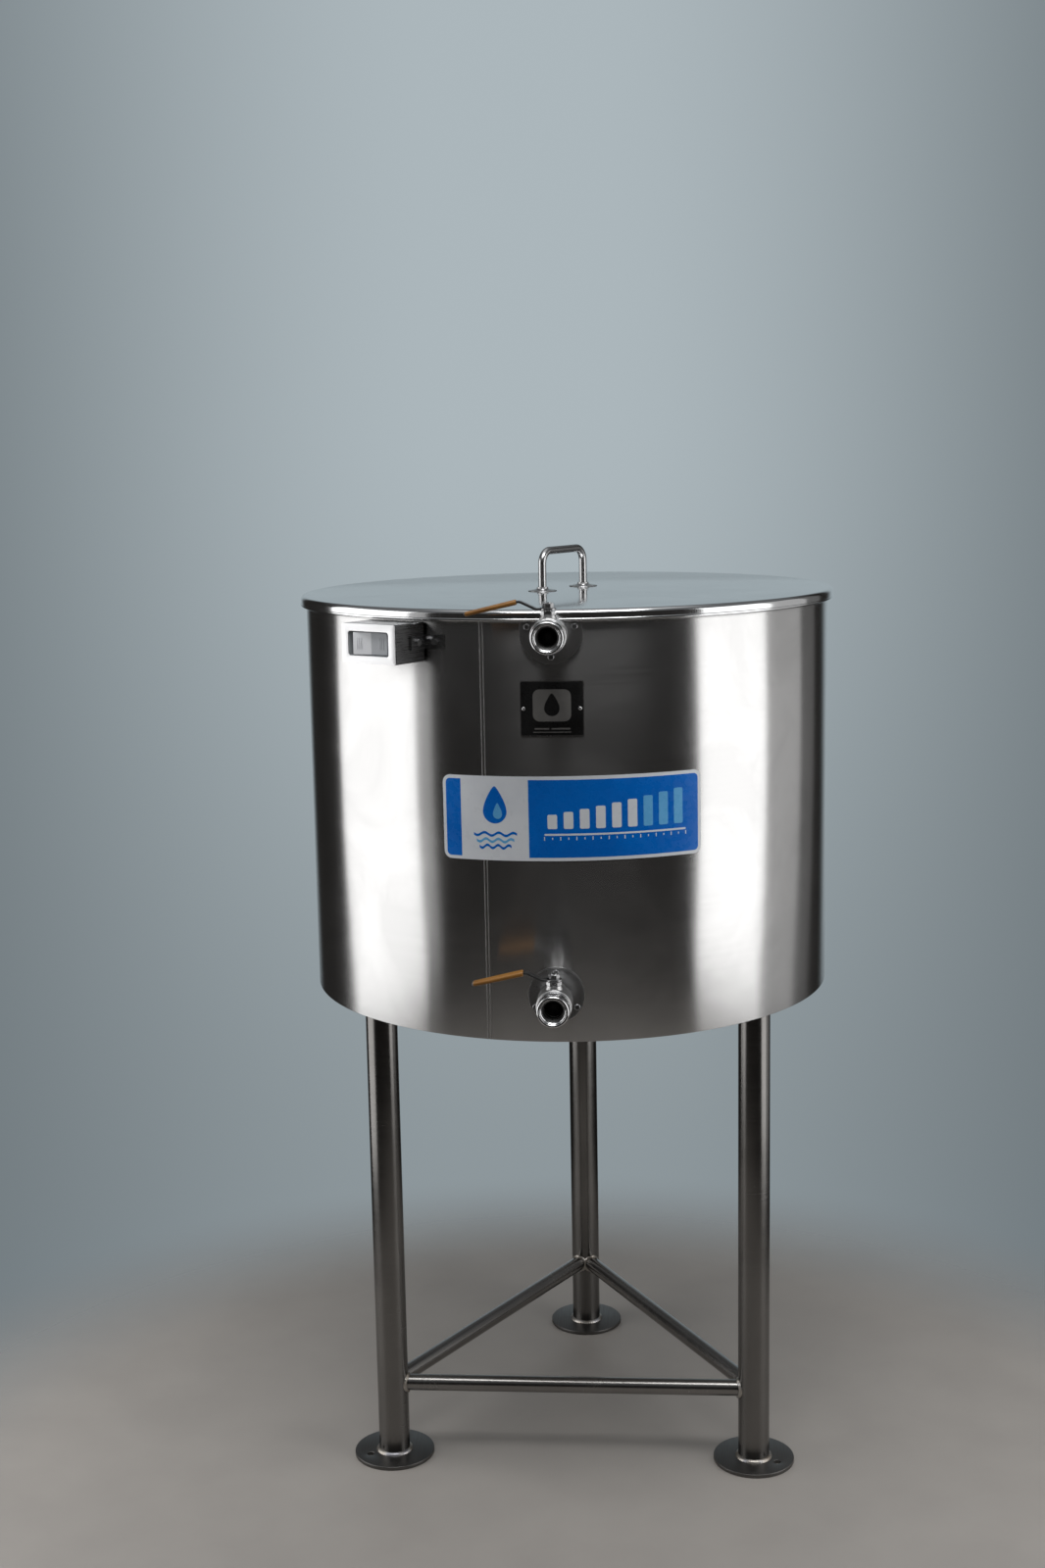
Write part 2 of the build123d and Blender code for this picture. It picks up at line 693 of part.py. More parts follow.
def make_box_front():
    """The cover with its window, and the gasket behind it."""
    plane = Plane(origin=(0, -box_cover_back(), box_z), x_dir=(1, 0, 0), z_dir=(0, -1, 0))
    window = RectangleRounded(window_width, window_height, window_radius)
    cover = extrude(plane * (RectangleRounded(box_width, box_height, 1.5) - window), amount=box_cover_thickness)
    front_edges = cover.faces().sort_by(Axis.Y)[0].outer_wire().edges()
    cover = fillet(front_edges, 0.6)
    inset = 2 * box_gasket_inset
    frame = Rectangle(box_width - inset, box_height - inset) - Rectangle(window_width + 8, window_height + 8)
    gasket = extrude(plane * frame, amount=-box_gasket_thickness + touch_gap)
    return cover, Pos(0, touch_gap / 2, 0) * gasket


def pivot_reach():
    return box_front - rocker_pivot_depth


def make_rocker():
    half = window_width / 2 - rocker_side_gap
    valley = rocker_pivot_depth - rocker_depth
    rise = half * tan(radians(rocker_tilt))
    outline = Polyline(
        (-half, -valley - rise), (0, -valley), (half, -valley - rise), (half, -valley - rise + 6.0),
        (9, 3), (-9, 3), (-half, -valley - rise + 6.0), close=True
    )
    body = extrude(make_face(outline), amount=window_height / 2 - rocker_edge_gap, both=True)
    ends = body.edges().filter_by(Axis.Z).sort_by(Axis.Y)[:2]
    body = fillet(ends, 1.2)
    pin_half = window_height / 2 + 0.7
    body += Cylinder(rocker_pin_diameter / 2, 2 * pin_half)
    return Pos(0, -pivot_reach(), box_z) * Rot(0, 0, rocker_tilt) * body


def make_switch_body():
    front = box_cover_back() - touch_gap
    half_w, half_h = window_width / 2 + 1.5, window_height / 2 + 1.5
    body = block(-half_w, half_w, -front, -front + switch_depth, box_z - half_h, box_z + half_h)
    cavity_w, cavity_h = half_w - switch_wall, half_h - switch_wall
    floor = -front + switch_cavity_depth
    body -= block(-cavity_w, cavity_w, -front - 1, floor, box_z - cavity_h, box_z + cavity_h)
    body -= Pos(0, -pivot_reach(), box_z) * Cylinder(rocker_pin_diameter / 2 + 0.1, 2 * half_h - 1.0)
    blades = []
    for x in (-18.0, 0.0, 18.0):
        low = -front + switch_depth + touch_gap
        blades.append(block(x - 3.2, x + 3.2, low, low + 9.0, box_z - 0.4, box_z + 0.4))
    return solids_of(body, *blades)


def make_brackets():
    """Two angle brackets that carry the box, made at the front, and their bolts, made in place."""
    brackets, bolts = [], []
    half_w, half_h = box_width / 2 + touch_gap, bracket_height / 2
    inner = shell_radius + touch_gap
    for side in (-1, 1):
        near, far = side * half_w, side * (half_w + bracket_thickness)
        x_low, x_high = min(near, far), max(near, far)
        reach = shell_radius + bracket_side_length
        flat = block(x_low, x_high, -reach, -shell_radius + 6, box_z - half_h, box_z + half_h)
        lip_far = side * (half_w + 4.0)
        lip = block(min(near, lip_far), max(near, lip_far), -reach, -reach + 1.5, box_z - half_h, box_z + half_h)
        end = side * (half_w + bracket_shell_length)
        span = block(
            min(near, end), max(near, end), -shell_radius - 5, -shell_radius + cut_margin,
            box_z - half_h, box_z + half_h,
        )
        foot = ring(inner + bracket_thickness, inner, box_z - 30, box_z + 30) & span
        flat -= upright(inner, box_z - 30, box_z + 30)
        bracket = flat + lip + foot
        side_hole = Pos(near, -side_bolt_reach(), box_z) * Rot(0, 90, 0)
        bracket -= side_hole * Cylinder(bolt_diameter / 2 + 0.1, 12)
        outward = Rot(0, 0, box_azimuth) * Pos(0, -side_bolt_reach(), box_z) * Rot(0, 90 * side, 0)
        head_at = half_w + bracket_thickness + touch_gap
        head = hexagon(bolt_head_width, head_at, head_at + bolt_head_height)
        shank = upright(bolt_diameter / 2, head_at - 8.0, head_at + 1)
        bolts.append(outward * head + outward * shank)
        x = side * drum_bolt_offset()
        hole = through_wall(0, x, box_z, bolt_diameter / 2 + 0.1, cut_margin, cut_margin)
        brackets.append(bracket - hole)
        head_at = inner + bracket_thickness + touch_gap
        turn = box_azimuth + degrees(atan2(x, shell_radius))
        head = Pos(0, 0, box_z) * prism_along_y(6, bolt_head_width, -head_at - bolt_head_height, -head_at)
        shank = along_y(bolt_diameter / 2, -head_at - 1, -head_at + 10.0, 0, box_z)
        bolts.append(at_azimuth(turn, head) + at_azimuth(turn, shank))
    return solids_of(*brackets), solids_of(*bolts)


def make_switch_box():
    cover, gasket = make_box_front()
    brackets, bolts = make_brackets()
    nodes = {
        "box_case": make_box_case(),
        "box_cover": cover,
        "box_gasket": gasket,
        "switch_rocker": make_rocker(),
        "switch_body": make_switch_body(),
        "box_brackets": brackets,
    }
    nodes = {name: at_azimuth(box_azimuth, shape) for name, shape in nodes.items()}
    return {**nodes, "bracket_bolts": bolts}


# ---- nameplate and label ----
def make_plates(shell):
    inner = shell_radius + touch_gap
    outline = RectangleRounded(nameplate_width, nameplate_height, nameplate_corner)
    nameplate = wrapped(inner, inner + nameplate_thickness, outline, nameplate_z)
    rivets = []
    for side in (-1, 1):
        x = side * (nameplate_width / 2 - rivet_inset)
        nameplate -= through_wall(0, x, nameplate_z, rivet_diameter / 2 + 0.1, cut_margin, cut_margin)
        front = inner + nameplate_thickness + touch_gap
        rivet = along_y(rivet_head_diameter / 2, -front - 1.2, -front, 0, nameplate_z)
        rivet = fillet(rivet.edges().sort_by(Axis.Y)[0], 1.0)
        rivet += along_y(rivet_diameter / 2, -front - 0.5, -front + 6.0, 0, nameplate_z)
        rivets.append(at_azimuth(degrees(atan2(x, shell_radius)), rivet))
    half_angle = label_width / 2 / shell_radius
    flat_width = 2 * shell_radius * sin(half_angle)
    label_outline = Rot(0, 0, label_tilt) * RectangleRounded(flat_width, label_height, label_corner)
    label = wrapped(inner, inner + label_thickness, label_outline, label_z)
    label = at_azimuth(label_azimuth, label) - shell
    return {
        "nameplate": nameplate,
        "nameplate_rivets": solids_of(*rivets),
        "label": label,
    }


def main():
    nodes = make_drum()
    nodes |= make_lid()
    nodes |= make_stand()
    nodes |= make_valve("inlet", inlet_z, inlet_plate_diameter, inlet_screw_angles)
    nodes |= make_valve("outlet", outlet_z, outlet_plate_diameter, outlet_screw_angles)
    nodes |= make_switch_box()
    nodes |= make_plates(nodes["outer_shell"])
    for name, shape in nodes.items():
        export_step(shape, f"parts/{name}.step")
    print(len(nodes), "nodes")


main()
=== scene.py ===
from math import atan2, cos, pi, radians, sin, sqrt

import bmesh
import bpy
from mathutils import Euler, Matrix, Vector


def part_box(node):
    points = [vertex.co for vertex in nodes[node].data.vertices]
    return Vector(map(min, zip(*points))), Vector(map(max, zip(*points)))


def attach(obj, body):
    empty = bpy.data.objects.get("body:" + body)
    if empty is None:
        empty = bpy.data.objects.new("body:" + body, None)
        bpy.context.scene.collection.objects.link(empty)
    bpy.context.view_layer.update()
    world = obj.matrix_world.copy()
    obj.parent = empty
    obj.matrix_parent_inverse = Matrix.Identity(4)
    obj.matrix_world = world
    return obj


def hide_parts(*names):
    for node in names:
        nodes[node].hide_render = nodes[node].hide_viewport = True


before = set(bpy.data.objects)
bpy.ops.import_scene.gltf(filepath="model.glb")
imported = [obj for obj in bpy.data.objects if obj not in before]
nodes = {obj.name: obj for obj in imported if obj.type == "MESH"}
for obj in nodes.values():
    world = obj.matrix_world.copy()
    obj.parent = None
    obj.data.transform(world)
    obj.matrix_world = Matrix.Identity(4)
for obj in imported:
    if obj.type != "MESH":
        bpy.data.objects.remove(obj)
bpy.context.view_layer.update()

scene = bpy.context.scene
frontFacing = Matrix.Rotation(pi / 2, 4, "X")  # turns a piece's own +Z to the tank's front, -Y


# the camera and the light
cameraView = {
    "place": (0.1666, -3.0752, 1.5685),
    "turn": (80.3924, 1.0505, 4.2812),
    "lens": 45.62,
    "sensor": 36.0,
}
softboxes = {
    "leftSoftbox": {"place": (-1.42, -0.29, 1.03), "face": (1, 0.1, 0), "size": (1.16, 1.94),
                    "watts": 12.47},
    "leftEdgeSoftbox": {"place": (-1.42, -1.02, 1.03), "face": (1, 0.3, 0), "size": (0.28, 1.94),
                        "watts": 0.74},
    "rightSoftbox": {"place": (1.42, -0.55, 1.03), "face": (-1, 0.15, 0), "size": (0.9, 1.94),
                     "watts": 10.16},
    "rightEdgeSoftbox": {"place": (1.42, 0.2, 1.03), "face": (-1, -0.1, 0), "size": (0.6, 1.94),
                         "watts": 1.76},
    "farRightSoftbox": {"place": (1.42, 0.75, 1.03), "face": (-1, -0.2, 0), "size": (0.5, 1.94),
                        "watts": 0.37},
    "topSoftbox": {"place": (0.15, -1.25, 3.3), "face": (-0.05, 0.35, -0.94), "size": (1.8, 0.9),
                   "watts": 32.0},
}
studio = {
    "backdrop": (0.145, 0.172, 0.187),
    "backdropMiddle": (0.41, 0.47, 0.50),
    "middleX": -0.0745,
    "dark": (0.020, 0.019, 0.018),
    "wallSide": (0.37, 0.43, 0.46),
    "upper": (0.15, 0.155, 0.16),
    "ceiling": (0.55, 0.56, 0.57),
    "floorTone": (0.37, 0.345, 0.32),
    "floorRadius": 1.6,
    "fadeFrom": 0.85,
    "fadeTo": 1.38,
    "floorMiddle": (0.0, -0.3, 0.0),
}


def addNode(tree, kind, inputs=None, **settings):
    node = tree.nodes.new(kind)
    for key, value in settings.items():
        setattr(node, key, value)
    for key, value in (inputs or {}).items():
        if isinstance(value, bpy.types.NodeSocket):
            tree.links.new(value, node.inputs[key])
        else:
            node.inputs[key].default_value = value
    return node


def rampNode(tree, factor, stops):
    node = addNode(tree, "ShaderNodeValToRGB", {"Fac": factor})
    ramp = node.color_ramp
    while len(ramp.elements) < len(stops):
        ramp.elements.new(0.5)
    for element, (place, colour) in zip(ramp.elements, stops):
        element.position = place
        element.color = (*colour, 1.0)
    return node.outputs["Color"]


def mixTones(tree, share, first, second, blend="MIX"):
    mix = addNode(tree, "ShaderNodeMix", data_type="RGBA", blend_type=blend)
    for socket, value in zip([mix.inputs[0], mix.inputs[6], mix.inputs[7]], (share, first, second)):
        if isinstance(value, bpy.types.NodeSocket):
            tree.links.new(value, socket)
        else:
            socket.default_value = value
    return mix.outputs[2]


def rangeNode(tree, value, low, high, toLow, toHigh, kind="LINEAR"):
    inputs = {"Value": value, "From Min": low, "From Max": high, "To Min": toLow, "To Max": toHigh}
    return addNode(tree, "ShaderNodeMapRange", inputs, interpolation_type=kind).outputs["Result"]


def addCamera():
    camera = bpy.data.cameras.new("tankCamera")
    camera.lens = cameraView["lens"]
    camera.sensor_width = cameraView["sensor"]
    holder = bpy.data.objects.new("tankCamera", camera)
    holder.location = cameraView["place"]
    holder.rotation_euler = Euler([radians(angle) for angle in cameraView["turn"]])
    scene.collection.objects.link(holder)
    scene.camera = holder


def addSoftboxes():
    for name, box in softboxes.items():
        lamp = bpy.data.lights.new(name, "AREA")
        lamp.shape = "RECTANGLE"
        lamp.size, lamp.size_y = box["size"]
        lamp.energy = box["watts"]
        holder = bpy.data.objects.new(name, lamp)
        holder.location = box["place"]
        holder.rotation_euler = Vector(box["face"]).to_track_quat("-Z", "Y").to_euler()
        holder.visible_camera = False
        scene.collection.objects.link(holder)


def addWorld():
    world = bpy.data.worlds.new("studioWorld")
    scene.world = world
    world.use_nodes = True
    tree = world.node_tree
    tree.nodes.clear()
    way = addNode(tree, "ShaderNodeTexCoord").outputs["Generated"]
    parts = addNode(tree, "ShaderNodeSeparateXYZ", {"Vector": way}).outputs
    wall = rangeNode(tree, parts["Y"], 0.86, 0.955, 0.0, 1.0, "SMOOTHSTEP")
    raised = rangeNode(tree, parts["Z"], 0.34, 0.62, 0.0, 1.0, "SMOOTHSTEP")
    seen = addNode(tree, "ShaderNodeLightPath").outputs["Is Camera Ray"]
    above = rangeNode(tree, parts["Z"], 0.80, 0.94, 0.0, 1.0, "SMOOTHSTEP")
    room = mixTones(tree, wall, (*studio["dark"], 1.0), (*studio["wallSide"], 1.0))
    room = mixTones(tree, raised, room, (*studio["upper"], 1.0))
    lit = mixTones(tree, above, room, (*studio["ceiling"], 1.0))
    across = addNode(tree, "ShaderNodeMath", {0: parts["X"], 1: studio["middleX"]}, operation="SUBTRACT").outputs[0]
    aside = addNode(tree, "ShaderNodeMath", {0: across}, operation="ABSOLUTE").outputs[0]
    middle = rangeNode(tree, aside, 0.03, 0.36, 1.0, 0.0, "SMOOTHSTEP")
    higher = rangeNode(tree, parts["Z"], -0.38, 0.02, 0.45, 1.0, "SMOOTHSTEP")
    near = addNode(tree, "ShaderNodeMath", {0: middle, 1: higher}, operation="MULTIPLY").outputs[0]
    behind = mixTones(tree, near, (*studio["backdrop"], 1.0), (*studio["backdropMiddle"], 1.0))
    sky = mixTones(tree, seen, lit, behind)
    glow = addNode(tree, "ShaderNodeBackground", {"Color": sky})
    out = addNode(tree, "ShaderNodeOutputWorld")
    tree.links.new(glow.outputs["Background"], out.inputs["Surface"])


def newMaterial(name):
    finish = bpy.data.materials.new(name)
    finish.use_nodes = True
    tree = finish.node_tree
    shader = next(node for node in tree.nodes if node.type == "BSDF_PRINCIPLED")
    where = addNode(tree, "ShaderNodeTexCoord").outputs["Object"]
    return finish, tree, shader, where


def addRelief(tree, shader, height, strength, distance):
    bump = addNode(tree, "ShaderNodeBump", {"Height": height, "Strength": strength, "Distance": distance})
    tree.links.new(bump.outputs["Normal"], shader.inputs["Normal"])


def addFloor():
    finish, tree, shader, where = newMaterial("paleFloor")
    grain = addNode(tree, "ShaderNodeTexNoise", {"Vector": where, "Scale": 6.0, "Detail": 6.0}).outputs["Fac"]
    tone = studio["floorTone"]
    darker = tuple(channel * 0.93 for channel in tone)
    tree.links.new(rampNode(tree, grain, ((0.35, darker), (0.65, tone))), shader.inputs["Base Color"])
    shader.inputs["Roughness"].default_value = 0.55
    length = addNode(tree, "ShaderNodeVectorMath", {0: where}, operation="LENGTH").outputs["Value"]
    fade = rangeNode(tree, length, studio["fadeFrom"], studio["fadeTo"], 1.0, 0.0, "SMOOTHSTEP")
    tree.links.new(fade, shader.inputs["Alpha"])
    mesh = bmesh.new()
    bmesh.ops.create_circle(mesh, cap_ends=True, segments=96, radius=studio["floorRadius"])
    data = bpy.data.meshes.new("paleFloor")
    mesh.to_mesh(data)
    mesh.free()
    data.materials.append(finish)
    floor = bpy.data.objects.new("paleFloor", data)
    floor.location = studio["floorMiddle"]
    scene.collection.objects.link(floor)


addCamera()
addSoftboxes()
addWorld()
addFloor()
scene.view_settings.view_transform = "Standard"
print("stage: camera, light and floor are up")


# finishes
metalDefaults = {"spread": 0.12, "bump": 0.05, "wave": 0.03, "waveScale": (30, 30, 30), "anisotropy": 0.0}
metalLooks = {
    # spread: how much the roughness varies, grain: how fast the scratches change along X, Y and Z,
    # bump: scratch depth, wave: how wavy the sheet is
    "drumSkin": {"tone": (0.61, 0.605, 0.6), "rough": 0.2, "spread": 0.04, "grain": (2.5, 2.5, 900),
                 "bump": 0.014, "waveScale": (13, 13, 0.5), "anisotropy": 0.88, "rotation": 0.25},
    "seamSkin": {"tone": (0.5, 0.495, 0.49), "rough": 0.4, "spread": 0.06, "grain": (500, 500, 60),
                 "bump": 0.03, "wave": 0.0},
    "lidSkin": {"tone": (0.74, 0.745, 0.75), "rough": 0.09, "spread": 0.06, "grain": (9, 700, 9),
                "bump": 0.02, "wave": 0.04, "waveScale": (5, 5, 5)},
    "vesselSkin": {"tone": (0.7, 0.7, 0.7), "rough": 0.22, "spread": 0.1, "grain": (3, 3, 800),
                   "wave": 0.06, "waveScale": (9, 9, 2), "anisotropy": 0.5, "rotation": 0.25},
    # a tone well below the steel's own: painted shade that darkens the legs' reflections of the floor
    "legTube": {"tone": (0.205, 0.198, 0.19), "rough": 0.2, "spread": 0.06, "grain": (20, 20, 300),
                "bump": 0.02, "wave": 0.01, "waveScale": (30, 30, 3), "anisotropy": 0.3, "rotation": 0.25},
    # also darker than the steel's own: painted shade on the braces, as on the legs
    "braceTube": {"tone": (0.26, 0.25, 0.24), "rough": 0.2, "spread": 0.06, "grain": (200, 200, 200),
                  "bump": 0.02, "wave": 0.0},
    # a near-black tone for steel: painted shade that darkens the foot plates' reflections
    "footPlate": {"tone": (0.15, 0.145, 0.14), "rough": 0.28, "spread": 0.18, "grain": (500, 14, 14),
                  "bump": 0.08, "waveScale": (20, 20, 20)},
    "polishedRod": {"tone": (0.6, 0.6, 0.605), "rough": 0.18, "spread": 0.05, "grain": (300, 300, 300),
                    "bump": 0.01, "wave": 0.0},
    "discSteel": {"tone": (0.62, 0.62, 0.625), "rough": 0.26, "spread": 0.08, "grain": (500, 40, 500),
                  "bump": 0.02, "wave": 0.02, "waveScale": (40, 40, 40)},
    "turnedSteel": {"tone": (0.7, 0.7, 0.705), "rough": 0.16, "grain": (90, 1400, 90), "bump": 0.06,
                    "wave": 0.04, "waveScale": (60, 60, 60)},
    # the bore's finish: a near-black tone painted as shade into the socket and onto the ball deep inside
    "paintedShadeBore": {"tone": (0.1, 0.1, 0.1), "rough": 0.45, "spread": 0.15, "grain": (300, 300, 300),
                   "bump": 0.06, "wave": 0.02, "waveScale": (60, 60, 60)},
    "castSteel": {"tone": (0.62, 0.62, 0.62), "rough": 0.28, "spread": 0.16, "grain": (900, 900, 900),
                  "bump": 0.18, "wave": 0.1, "waveScale": (90, 90, 90)},
    # darker than the valves' steel: painted shade on the lever strip
    "stripSteel": {"tone": (0.34, 0.34, 0.345), "rough": 0.24, "spread": 0.14, "grain": (30, 700, 30),
                   "bump": 0.06, "waveScale": (60, 60, 60)},
    # darker than the cover's steel: painted shade for the box case's sides and its brackets
    "boxSkin": {"tone": (0.36, 0.36, 0.365), "rough": 0.2, "grain": (20, 20, 900)},
    "coverSkin": {"tone": (0.86, 0.86, 0.865), "rough": 0.38, "spread": 0.1, "grain": (20, 20, 900)},
    "boltSteel": {"tone": (0.6, 0.6, 0.605), "rough": 0.22, "grain": (700, 700, 700),
                  "waveScale": (80, 80, 80)},
    # darker than the plates: painted shade so the screw heads read as dark holes
    "screwSteel": {"tone": (0.32, 0.32, 0.325), "rough": 0.3, "grain": (700, 700, 700),
                   "waveScale": (80, 80, 80)},
}


def metalFinish(name):
    look = {**metalDefaults, **metalLooks[name]}
    finish, tree, shader, where = newMaterial(name)
    along = addNode(tree, "ShaderNodeMapping", {"Vector": where, "Scale": look["grain"]}).outputs["Vector"]
    scratch = addNode(tree, "ShaderNodeTexNoise", {"Vector": along, "Scale": 1.0, "Detail": 5.0, "Roughness": 0.65})
    smear = addNode(tree, "ShaderNodeTexNoise", {"Vector": where, "Scale": 7.0, "Detail": 5.0, "Distortion": 0.8})
    tone = look["tone"]
    dull = tuple(channel * 0.88 for channel in tone)
    tree.links.new(rampNode(tree, smear.outputs["Fac"], ((0.38, dull), (0.62, tone))), shader.inputs["Base Color"])
    fine = rangeNode(tree, scratch.outputs["Fac"], 0.3, 0.7, look["rough"], look["rough"] + look["spread"])
    cloud = rangeNode(tree, smear.outputs["Fac"], 0.45, 0.75, 0.0, look["spread"] * 0.6)
    total = addNode(tree, "ShaderNodeMath", {0: fine, 1: cloud}, operation="ADD").outputs["Value"]
    tree.links.new(total, shader.inputs["Roughness"])
    slow = addNode(tree, "ShaderNodeMapping", {"Vector": where, "Scale": look["waveScale"]}).outputs["Vector"]
    ripple = addNode(tree, "ShaderNodeTexNoise", {"Vector": slow, "Scale": 1.0, "Detail": 1.5}).outputs["Fac"]
    sheet = addNode(tree, "ShaderNodeBump", {"Height": ripple, "Strength": look["wave"], "Distance": 0.01})
    lines = addNode(tree, "ShaderNodeBump", {"Height": scratch.outputs["Fac"], "Strength": look["bump"],
                                            "Distance": 0.0005, "Normal": sheet.outputs["Normal"]})
    tree.links.new(lines.outputs["Normal"], shader.inputs["Normal"])
    shader.inputs["Metallic"].default_value = 1.0
    if look["anisotropy"]:
        shader.inputs["Anisotropic"].default_value = look["anisotropy"]
        shader.inputs["Anisotropic Rotation"].default_value = look["rotation"]
        tangent = addNode(tree, "ShaderNodeTangent", direction_type="RADIAL", axis="Z")
        tree.links.new(tangent.outputs["Tangent"], shader.inputs["Tangent"])
    return finish


plainLooks = {
    # tone, its darker mottling, roughness, grain scale, bump
    "whiteRubber": ((0.62, 0.62, 0.59), (0.5, 0.5, 0.47), 0.55, 160, 0.15),
    "blackRubber": ((0.022, 0.022, 0.024), (0.012, 0.012, 0.013), 0.6, 400, 0.2),
    "seatPolymer": ((0.8, 0.8, 0.77), (0.7, 0.7, 0.67), 0.35, 300, 0.05),
    "foamFill": ((0.72, 0.6, 0.33), (0.55, 0.43, 0.2), 0.9, 500, 0.6),
    "ochreVinyl": ((0.34, 0.155, 0.032), (0.22, 0.092, 0.018), 0.36, 130, 0.25),
    "switchGrey": ((0.5, 0.52, 0.54), (0.42, 0.44, 0.46), 0.45, 900, 0.12),
    # both rocker halves are one pale plastic: the -X half a bright copy, partly painted light, the +X half a grey
    # copy as painted shade
    "rockerPaleLit": ((0.93, 0.945, 0.97), (0.88, 0.895, 0.93), 0.3, 900, 0.1),
    "rockerShadedHalf": ((0.56, 0.58, 0.61), (0.5, 0.52, 0.55), 0.36, 900, 0.1),
    "plateBlack": ((0.014, 0.014, 0.014), (0.006, 0.006, 0.006), 0.3, 500, 0.08),
    "plateGrey": ((0.2, 0.195, 0.185), (0.14, 0.135, 0.13), 0.42, 500, 0.15),
    "filmWhite": ((0.84, 0.87, 0.91), (0.78, 0.81, 0.86), 0.3, 90, 0.03),
    "filmBlue": ((0.0, 0.165, 0.66), (0.0, 0.145, 0.6), 0.26, 90, 0.03),
    "filmSky": ((0.16, 0.5, 0.86), (0.13, 0.44, 0.8), 0.26, 90, 0.03),
}


def plainFinish(name):
    tone, dark, rough, scale, bump = plainLooks[name]
    finish, tree, shader, where = newMaterial(name)
    cloud = addNode(tree, "ShaderNodeTexNoise", {"Vector": where, "Scale": 18.0, "Detail": 6.0, "Distortion": 0.4})
    grain = addNode(tree, "ShaderNodeTexNoise", {"Vector": where, "Scale": scale, "Detail": 4.0})
    colour = rampNode(tree, cloud.outputs["Fac"], ((0.36, dark), (0.60, tone)))
    tree.links.new(colour, shader.inputs["Base Color"])
    uneven = rangeNode(tree, grain.outputs["Fac"], 0.3, 0.7, rough - 0.06, rough + 0.10)
    tree.links.new(uneven, shader.inputs["Roughness"])
    addRelief(tree, shader, grain.outputs["Fac"], bump, 0.0006)
    return finish


def weldFinish():
    finish, tree, shader, where = newMaterial("weldBead")
    heat = addNode(tree, "ShaderNodeTexNoise", {"Vector": where, "Scale": 60.0, "Detail": 3.0}).outputs["Fac"]
    grain = addNode(tree, "ShaderNodeTexNoise", {"Vector": where, "Scale": 900.0, "Detail": 4.0}).outputs["Fac"]
    tints = ((0.30, (0.30, 0.26, 0.22)), (0.50, (0.50, 0.47, 0.43)), (0.70, (0.40, 0.40, 0.43)))
    tree.links.new(rampNode(tree, heat, tints), shader.inputs["Base Color"])
    tree.links.new(rangeNode(tree, grain, 0.3, 0.7, 0.28, 0.48), shader.inputs["Roughness"])
    addRelief(tree, shader, grain, 0.2, 0.0005)
    shader.inputs["Metallic"].default_value = 1.0
    return finish


finishes = {name: metalFinish(name) for name in metalLooks}
finishes.update({name: plainFinish(name) for name in plainLooks})
finishes["weldBead"] = weldFinish()
print("stage: finishes are mixed")


# the CAD pieces that keep their shape
keptFinishes = {
    "vesselSkin": ("vessel_wall", "vessel_floor", "top_ring", "bottom_plate", "leg_pads"),
    "foamFill": ("insulation", "lid_foam"),
    "boltSteel": ("handle_nuts", "bracket_bolts", "inlet_lever_nut", "outlet_lever_nut"),
    "screwSteel": ("inlet_plate_screws", "outlet_plate_screws"),
    "turnedSteel": ("inlet_pipe", "outlet_pipe", "inlet_valve_gland", "outlet_valve_gland",
                    "inlet_valve_stem", "outlet_valve_stem"),
    # the balls sit deep in the bores and take the near-black painted shade
    "paintedShadeBore": ("inlet_valve_ball", "outlet_valve_ball"),
    "blackRubber": ("inlet_plate_gasket", "outlet_plate_gasket", "box_gasket"),
    "seatPolymer": ("inlet_valve_seals", "outlet_valve_seals"),
    "boxSkin": ("box_case", "box_brackets"),
    "switchGrey": ("switch_body",),
}
for finishName, members in keptFinishes.items():
    for member in members:
        keptMesh = nodes[member].data
        keptMesh.materials.clear()
        keptMesh.materials.append(finishes[finishName])


# shared modelling steps
def makePiece(name, mesh, look, body, stands=(), sharp=32):
    # turns a bmesh into a finished object that rides on its body
    bmesh.ops.recalc_face_normals(mesh, faces=mesh.faces)
    data = bpy.data.meshes.new(name)
    mesh.to_mesh(data)
    mesh.free()
    for finishName in (look if isinstance(look, tuple) else (look,)):
        data.materials.append(finishes[finishName])
    data.shade_smooth()
    data.set_sharp_from_angle(angle=radians(sharp))
    piece = bpy.data.objects.new(name, data)
    scene.collection.objects.link(piece)
    if stands:
        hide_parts(*stands)
    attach(piece, body)


def roundEdges(mesh, width, segments=3, angle=30, edges=None):
    # bevels the edges that are sharper than the angle
    chosen = [edge for edge in (edges or mesh.edges)
              if edge.is_manifold and edge.calc_face_angle() > radians(angle)]
    bmesh.ops.bevel(mesh, geom=chosen, offset=width, segments=segments, profile=0.5, affect="EDGES",
                    material=-1, clamp_overlap=True)


def spinShape(profile, steps=96, closed=True):
    # a turned shape about Z from radius and height pairs
    mesh = bmesh.new()
    corners = [mesh.verts.new((radius, 0, height)) for radius, height in profile]
    follow = corners[1:] + corners[:1] if closed else corners[1:]
    sides = [mesh.edges.new(pair) for pair in zip(corners, follow)]
    bmesh.ops.spin(mesh, geom=corners + sides, cent=(0, 0, 0), axis=(0, 0, 1), angle=2 * pi, steps=steps,
                   use_merge=True, use_duplicate=False)
    bmesh.ops.remove_doubles(mesh, verts=mesh.verts, dist=1e-6)
    bmesh.ops.dissolve_degenerate(mesh, edges=mesh.edges, dist=1e-7)
    bmesh.ops.recalc_face_normals(mesh, faces=mesh.faces)
    return mesh


def spinTube(inner, outer, low, high, steps):
    return spinShape([(inner, low), (outer, low), (outer, high), (inner, high)], steps)


